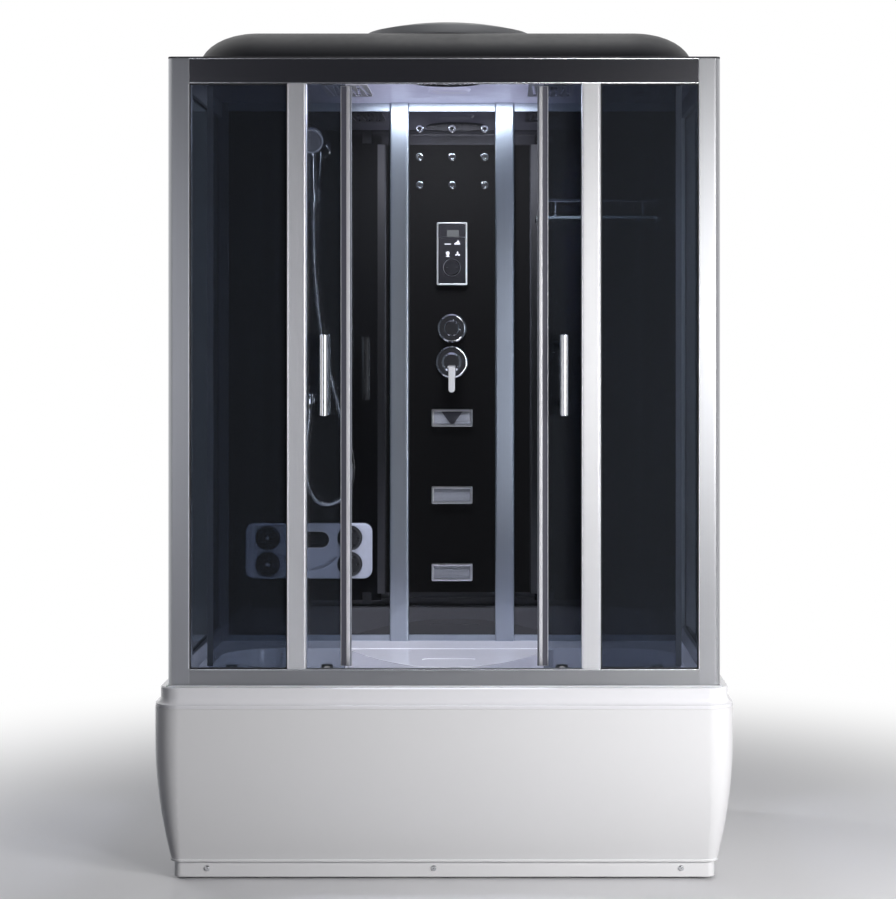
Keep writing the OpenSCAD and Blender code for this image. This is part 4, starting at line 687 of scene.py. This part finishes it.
# The control panel: a satin metal frame round a gloss black face, with a grey display, a chrome
# line, four printed touch fields and the round key with its thin chrome ring.
satin_metal = finish("satin_metal", (0.84, 0.84, 0.86), metallic=1.0, roughness=(0.30, 0.38),
                     scale=50.0, marks=drawn_lines, stretch=(1, 1, 0.02))
black_gloss = finish("black_gloss", (0.012, 0.012, 0.013), roughness=(0.08, 0.14), scale=30.0)
dress(satin_metal, "panel_frame", soften=0.0008)
dress(black_gloss, "panel_face", "round_key", soften=0.0005)


def joined(parts, name):
    """Joins parts into one piece."""
    bpy.ops.object.select_all(action="DESELECT")
    for part in parts:
        part.select_set(True)
    bpy.context.view_layer.objects.active = parts[0]
    bpy.ops.object.join()
    piece = bpy.context.object
    piece.name = name
    return piece


display_grey = finish("display_grey", (0.026, 0.027, 0.027), roughness=(0.2, 0.26), scale=60.0,
                      Emission_Color=(0.80, 0.86, 0.84, 1), Emission_Strength=0.08)
display = started("display_window", "cube", (0.003, 0.3896, 1.7160), (0.0356, 0.0008, 0.0206))
opened(display, lambda c, n: n.y < -0.5)
bpy.ops.mesh.inset(thickness=0.0008, depth=0.0002)
fitted(display, display_grey, "cabin", soften=0.0002)
digit_dark = finish("display_segments", (0.05, 0.055, 0.055), roughness=(0.3, 0.4), scale=60.0)
digits = []
for column in (-0.0052, 0.0052):
    for dx, dz, upright in ((0, 0.0056, 0), (0, 0, 0), (0, -0.0056, 0), (-0.0030, 0.0028, 1),
                            (0.0030, 0.0028, 1), (-0.0030, -0.0028, 1), (0.0030, -0.0028, 1)):
        if (dx, dz) == (math.copysign(0.0030, column), 0.0028):
            continue
        segment = started("segment", "plane", (0.003 + column + dx, 0.38905, 1.7160 + dz),
                          (0.0042, 0.0009, 1), (90, 90 * upright, 0))
        opened(segment, lambda c, n: True)
        bpy.ops.mesh.bevel(affect="VERTICES", offset=0.0003, segments=1)
        bpy.ops.object.mode_set(mode="OBJECT")
        digits.append(segment)
digits = joined(digits, "display_digits")
applied(digits, "SOLIDIFY", thickness=0.0002, offset=-1)
fitted(digits, digit_dark, "cabin")
panel_line = started("panel_line", "cube", (0.0005, 0.3889, 1.7050), (0.0780, 0.0005, 0.0009))
fitted(panel_line, satin_metal, "cabin", soften=0.0001)
mark_white = finish("printed_mark", (0.36, 0.36, 0.36), roughness=(0.3, 0.4), scale=90.0)
down_mark = started("touch_mark_down", "plane", (-0.0125, 0.3889, 1.6850), (0.0190, 0.0028, 1),
                    (90, 0, 0))
opened(down_mark, lambda c, n: True)
bpy.ops.mesh.bevel(affect="VERTICES", offset=0.0009, segments=2)
applied(down_mark, "SOLIDIFY", thickness=0.0002, offset=-1)
fitted(down_mark, mark_white, "cabin")
up_mark = started("touch_mark_up", "plane", (0.0155, 0.3889, 1.6850), (0.0170, 0.0028, 1),
                  (90, 0, 0))
opened(up_mark, lambda p: p.z > 1.6850, "edge")
bpy.ops.mesh.extrude_region_move(TRANSFORM_OT_translate={"value": (0.0026, 0, 0.0050)})
bpy.ops.transform.resize(value=(0.42, 1, 1))
bpy.ops.mesh.extrude_region_move(TRANSFORM_OT_translate={"value": (0, 0, 0.0050)})
bpy.ops.transform.resize(value=(0.15, 1, 1))
applied(up_mark, "SOLIDIFY", thickness=0.0002, offset=-1)
fitted(up_mark, mark_white, "cabin")
lamp_mark = started("touch_mark_lamp", "circle", (-0.0125, 0.3889, 1.6575), (1, 1, 1), (90, 0, 0),
                    radius=0.0056, vertices=20, fill_type="NGON")
opened(lamp_mark, lambda p: p.z < 1.6535, "edge")
bpy.ops.mesh.extrude_region_move(TRANSFORM_OT_translate={"value": (0, 0, -0.0040)})
bpy.ops.mesh.extrude_region_move(TRANSFORM_OT_translate={"value": (0, 0, 0)})
bpy.ops.transform.resize(value=(1.7, 1, 1))
bpy.ops.mesh.extrude_region_move(TRANSFORM_OT_translate={"value": (0, 0, -0.0014)})
applied(lamp_mark, "SOLIDIFY", thickness=0.0002, offset=-1)
fitted(lamp_mark, mark_white, "cabin")
blades = []
for turn in (0, 120, 240):
    blade = started("blade", "circle", (0.0165 + 0.0042 * math.sin(math.radians(turn)), 0.3889,
                                        1.6550 + 0.0042 * math.cos(math.radians(turn))),
                    (0.8, 1.3, 1), (90, turn, 0), radius=0.0030, vertices=14, fill_type="NGON")
    opened(blade, lambda c, n: True)
    bpy.ops.mesh.inset(thickness=0.0004)
    bpy.ops.object.mode_set(mode="OBJECT")
    blades.append(blade)
fan_mark = joined(blades, "touch_mark_fan")
applied(fan_mark, "SOLIDIFY", thickness=0.0002, offset=-1)
fitted(fan_mark, mark_white, "cabin")


def ringed(name, centre, turn, radius, width, thick, sides=48):
    """A flat ring: a disc with its middle cut out, given its thickness behind its face."""
    piece = started(name, "circle", centre, (1, 1, 1), turn, radius=radius, vertices=sides,
                    fill_type="NGON")
    opened(piece, lambda c, n: True)
    bpy.ops.mesh.inset(thickness=width)
    bpy.ops.mesh.delete(type="FACE")
    applied(piece, "SOLIDIFY", thickness=thick, offset=-1)
    return piece


key_ring = ringed("key_ring", (0.000, 0.3884, 1.6150), (90, 0, 0), 0.0262, 0.0016, 0.0007)
fitted(key_ring, satin_metal, "cabin", soften=0.0002)
for name, x in (("key_mark_left", -0.0150), ("key_mark_right", 0.0150)):
    mark = started(name, "plane", (x, 0.38512, 1.6150), (0.0060, 0.0016, 1), (90, 0, 0))
    opened(mark, lambda c, n: True)
    bpy.ops.mesh.bevel(affect="VERTICES", offset=0.0006, segments=2)
    applied(mark, "SOLIDIFY", thickness=0.0001, offset=-1)
    fitted(mark, digit_dark, "key")

# The diverter and the mixer: chrome plates, knob and cap, and a brushed lever. The valves behind
# the wall are cast brass.
dress(chrome, "control_plates", "diverter_knob", "mixer_cap", soften=0.0010)
dress(satin_metal, "mixer_lever", soften=0.0012, segments=3)
brass = finish("cast_brass", (0.62, 0.44, 0.20), metallic=1.0, roughness=(0.3, 0.5), scale=50.0,
               bump=0.2)
dress(brass, "valves", soften=0.0006)

# The body jets: small chrome rings, each with a black rubber nozzle that has a fine bore. They
# snap into holes in the middle glass panel, in three rows of three.
dress(chrome, "jet_rings", soften=0.0006)
nozzle_rubber = finish("nozzle_rubber", (0.012, 0.012, 0.013), roughness=(0.3, 0.5), scale=150.0)
nozzle = started("jet_nozzle_5", "cylinder", (0, 0.4000, 1.9450), (1, 1, 1), (90, 0, 0),
                 radius=0.0058, depth=0.0062, vertices=28)
opened(nozzle, lambda c, n: n.y < -0.5)
bpy.ops.mesh.inset(thickness=0.0016, depth=0.0007)
bpy.ops.mesh.inset(thickness=0.0014, depth=-0.0016)
bpy.ops.mesh.inset(thickness=0.0013, depth=-0.0020)
fitted(nozzle, nozzle_rubber, "cabin", soften=0.0003)
for count, (dx, dz) in enumerate((x, z) for z in (0.084, 0, -0.084) for x in (-0.097, 0, 0.097)):
    if count != 4:
        copied(nozzle, "jet_nozzle_%d" % (count + 1), "cabin", move=(dx, 0, dz))

# The back jets: moulded grey faces with rows of spray holes, in chrome frames whose inner edges
# slope in. The upper one has a dark tapered mark in its middle.
jet_grey = finish("jet_grey", (0.30, 0.31, 0.33), roughness=(0.3, 0.4), scale=40.0)
dress(jet_grey, "back_jet_faces", soften=0.0004)
dress(chrome, "back_jet_frames", soften=0.0008)
bezel = framed("back_jet_bezel_1", (0, 0.3898, 0.7070), (0.1220, 0.0520), (90, 0, 0), 0.0070,
               0.0030, corner=0.0040)
opened(bezel, lambda p: p.y < 0.3900 and abs(p.x) < 0.0560 and abs(p.z - 0.707) < 0.0210, "edge")
bpy.ops.mesh.bevel(offset=0.0028, segments=1)
fitted(bezel, satin_metal, "cabin", soften=0.0003)
copied(bezel, "back_jet_bezel_2", "cabin", move=(0, 0, 0.230))
copied(bezel, "back_jet_bezel_3", "cabin", move=(0, 0, 0.460))
dark_mark_grey = finish("dark_mark_grey", (0.055, 0.055, 0.065), roughness=(0.35, 0.45), scale=60.0)
dark_mark = started("back_jet_spout", "plane", (0, 0.3926, 1.1670), (0.0640, 0.0380, 1), (90, 0, 0))
opened(dark_mark, lambda p: p.z < 1.1600, "edge")
bpy.ops.transform.resize(value=(0.12, 1, 1))
applied(dark_mark, "SOLIDIFY", thickness=0.0007, offset=-1)
fitted(dark_mark, dark_mark_grey, "cabin", soften=0.0002)

# The hand shower, its tilting holder and the wall elbow: chromed plastic and brass. A grey spray
# face with rings of soft nozzles is screwed into the shower's head, inside a bright rim.
dress(chrome, "wall_elbow", "shower_holder", "hand_shower", soften=0.0008)
spray_grey = finish("spray_grey", (0.12, 0.122, 0.13), roughness=(0.25, 0.4), scale=80.0)
face_centre = Vector((-0.410, 0.2753, 1.9796))
face_normal = Vector((0, -0.8829, -0.4695))
face_up = Vector((0, -0.4695, 0.8829))
spray = started("spray_face", "cylinder", face_centre, (1, 1, 1), (118, 0, 0), radius=0.0325,
                depth=0.0030, vertices=48)
opened(spray, lambda c, n: n.dot(face_normal) > 0.9)
bpy.ops.mesh.inset(thickness=0.0030, depth=0.0006)
bpy.ops.mesh.inset(thickness=0.0040, depth=-0.0008)
fitted(spray, spray_grey, "handset", soften=0.0005)
rim = ringed("spray_rim", face_centre + 0.0022 * face_normal, (118, 0, 0), 0.0365, 0.0042, 0.0030)
fitted(rim, bright_metal, "handset", soften=0.0008)
soft_nozzle = finish("soft_nozzle", (0.30, 0.31, 0.33), roughness=(0.4, 0.5), scale=90.0)
nozzles = []
for reach, count in ((0.0225, 16), (0.0155, 11), (0.0085, 6), (0.0, 1)):
    for k in range(count):
        turn = 2 * math.pi * k / count
        place = (face_centre + 0.0016 * face_normal + reach * math.cos(turn) * Vector((1, 0, 0))
                 + reach * math.sin(turn) * face_up)
        dot = started("dot", "cylinder", place, (1, 1, 1), (118, 0, 0), radius=0.0014,
                      depth=0.0022, vertices=8)
        opened(dot, lambda c, n: n.dot(face_normal) > 0.9)
        bpy.ops.mesh.inset(thickness=0.0005, depth=0.0004)
        bpy.ops.object.mode_set(mode="OBJECT")
        nozzles.append(dot)
nozzles = joined(nozzles, "spray_nozzles")
fitted(nozzles, soft_nozzle, "handset")

# The massage board: a pearl grey moulding with a black window and a grip slot, and four ribbed
# rubber discs with pale centres, snapped into its pockets.
pearl = finish("pearl_grey", (0.52, 0.55, 0.64), roughness=(0.22, 0.30), scale=30.0,
               Coat_Weight=0.3)
dress(pearl, "massage_board", soften=0.002, segments=3)
disc_grey = finish("disc_grey", (0.022, 0.023, 0.026), roughness=(0.35, 0.45), scale=50.0)
dress(disc_grey, "massage_discs", soften=0.001)
window = started("board_window", "plane", (-0.4260, 0.3884, 0.8050), (0.1225, 0.0488, 1),
                 (90, 0, 0))
opened(window, lambda c, n: True)
bpy.ops.mesh.bevel(affect="VERTICES", offset=0.0240, segments=8)
bpy.ops.mesh.inset(thickness=0.0015, depth=0.0004)
applied(window, "SOLIDIFY", thickness=0.0008, offset=-1)
fitted(window, black_gloss, "cabin")
rim = framed("board_window_rim", (-0.4260, 0.3812, 0.8050), (0.1276, 0.0536), (90, 0, 0), 0.0030,
             0.0012, corner=0.0266)
pale_rim = finish("pale_rim", (0.66, 0.67, 0.72), roughness=(0.2, 0.3), scale=50.0)
fitted(rim, pale_rim, "cabin", soften=0.0003)
boss = started("disc_boss_1", "cylinder", (-0.5480, 0.3710, 0.8100), (1, 1, 1), (90, 0, 0),
               radius=0.0052, depth=0.0020, vertices=20)
opened(boss, lambda c, n: n.y < -0.5)
bpy.ops.mesh.inset(thickness=0.0014, depth=0.0004)
fitted(boss, pale_rim, "cabin", soften=0.0003)
copied(boss, "disc_boss_2", "cabin", move=(0.244, 0, 0))
copied(boss, "disc_boss_3", "cabin", move=(0, 0, -0.078))
copied(boss, "disc_boss_4", "cabin", move=(0.244, 0, -0.078))

# The corner shelf: clear glass with ground pale edges on two wall brackets, and a guard rail on
# two posts. The low grab rail is smoked chrome with a satin end block.
clear = pane_glass("clear_glass", (0.86, 0.93, 0.92), 0.9)
dress(clear, "shelf_glass", soften=0.0006)
dress(chrome, "shelf_rail", soften=0.0008)
ground_edge = finish("ground_edge", (0.22, 0.25, 0.25), roughness=(0.35, 0.5), scale=90.0)
edge_strip = started("shelf_front_edge", "cube", (0.4350, 0.2871, 1.7580), (0.3320, 0.0006, 0.0068))
opened(edge_strip, lambda c, n: n.y < -0.5)
bpy.ops.mesh.inset(thickness=0.0008, depth=0.0001)
fitted(edge_strip, ground_edge, "cabin")
smoked_chrome = finish("smoked_chrome", (0.09, 0.09, 0.10), metallic=1.0, roughness=(0.15, 0.25),
                       scale=40.0)
dress(smoked_chrome, "grab_rail", soften=0.0008)

# The roof: one shell of ABS formed over a mould, matt outside, which sits on the top of the frame.
# Its dark grey is painted shade, and its round crown is painted lighter as painted light on its
# top.
roof_painted_shade = finish("roof_painted_shade", (0.050, 0.051, 0.057), roughness=(0.42, 0.55), scale=5.0)
crown_z = 2.2175
shell = roof_painted_shade.node_tree
spot = shell.nodes.new("ShaderNodeTexCoord")
heights = shell.nodes.new("ShaderNodeSeparateXYZ")
# The crown's lighter tone is painted light on the roof's top.
crown_painted_light_mask = shell.nodes.new("ShaderNodeMapRange")
crown_painted_light_mask.inputs["From Min"].default_value = crown_z
crown_painted_light_mask.inputs["From Max"].default_value = crown_z + 0.002
crown_painted_light_tone = shell.nodes.new("ShaderNodeMix")
crown_painted_light_tone.data_type = "RGBA"
crown_painted_light_tone.inputs["B"].default_value = (0.36, 0.365, 0.385, 1)
base = shell.nodes["Principled BSDF"].inputs["Base Color"]
shell.links.new(spot.outputs["Object"], heights.inputs[0])
shell.links.new(heights.outputs["Z"], crown_painted_light_mask.inputs["Value"])
shell.links.new(crown_painted_light_mask.outputs["Result"], crown_painted_light_tone.inputs["Factor"])
shell.links.new(base.links[0].from_socket, crown_painted_light_tone.inputs["A"])
shell.links.new(crown_painted_light_tone.outputs["Result"], base)
dress(roof_painted_shade, "roof_shell", soften=0.002, segments=3)

# The ceiling: a white acrylic sheet with louvred covers, the overhead rain shower and the round
# opal lamp. The sheet is a lilac grey as painted shade, with a painted glow of lamp light in its
# middle that fades towards the sides. The fan sits above the right cover.
ceiling_painted_shade_and_glow = finish("ceiling_painted_shade_and_glow", (0.42, 0.42, 0.50), roughness=(0.3, 0.4), scale=5.0)
painted_glow = ceiling_painted_shade_and_glow.node_tree
spot = painted_glow.nodes.new("ShaderNodeTexCoord")
aside = painted_glow.nodes.new("ShaderNodeSeparateXYZ")
apart = math_node(painted_glow, "ABSOLUTE")
# A painted glow of lamp light, brightest in the middle of the ceiling.
fade = smooth_range(painted_glow, 0.12, 0.46, start=1.0, end=0.0)
tone = painted_glow.nodes.new("ShaderNodeMix")
tone.data_type = "RGBA"
tone.inputs["A"].default_value = (0.0, 0.0, 0.0, 1)
tone.inputs["B"].default_value = (0.22, 0.225, 0.34, 1)
painted_glow.links.new(spot.outputs["Object"], aside.inputs[0])
painted_glow.links.new(aside.outputs["X"], apart.inputs[0])
painted_glow.links.new(apart.outputs[0], fade.inputs["Value"])
painted_glow.links.new(fade.outputs["Result"], tone.inputs["Factor"])
painted_glow.links.new(tone.outputs["Result"], painted_glow.nodes["Principled BSDF"].inputs["Emission Color"])
painted_glow.nodes["Principled BSDF"].inputs["Emission Strength"].default_value = 1.0
dress(ceiling_painted_shade_and_glow, "ceiling", soften=0.0008)
dress(smoked_chrome, "rain_shower", soften=0.0008)
grille_white = finish("grille_white", (0.60, 0.60, 0.66), roughness=(0.3, 0.4), scale=40.0)
dress(grille_white, "ceiling_grilles", soften=0.001)
opal = finish("opal_lamp", (0.46, 0.46, 0.54), roughness=(0.3, 0.4), scale=20.0,
              Emission_Color=(0.50, 0.51, 0.74, 1), Emission_Strength=0.5)
dress(opal, "ceiling_lamp", soften=0.001)
dress(nylon, "fan_housing", soften=0.001)
dress(black_gloss, "fan_rotor", soften=0.0004)

# Below the tub: a welded frame of zinc plated tube on six nylon feet, the white waste trap, and
# the chrome waste, plug and overflow cover in the tub.
zinc = finish("zinc_steel", (0.58, 0.60, 0.62), metallic=1.0, roughness=(0.35, 0.55), scale=60.0)
dress(zinc, "tub_frame", soften=0.002)
dress(nylon, "levelling_feet", soften=0.0008)
dress(white_nylon, "waste_trap", soften=0.001)
dress(chrome, "waste_fittings", "waste_plug", soften=0.0008)
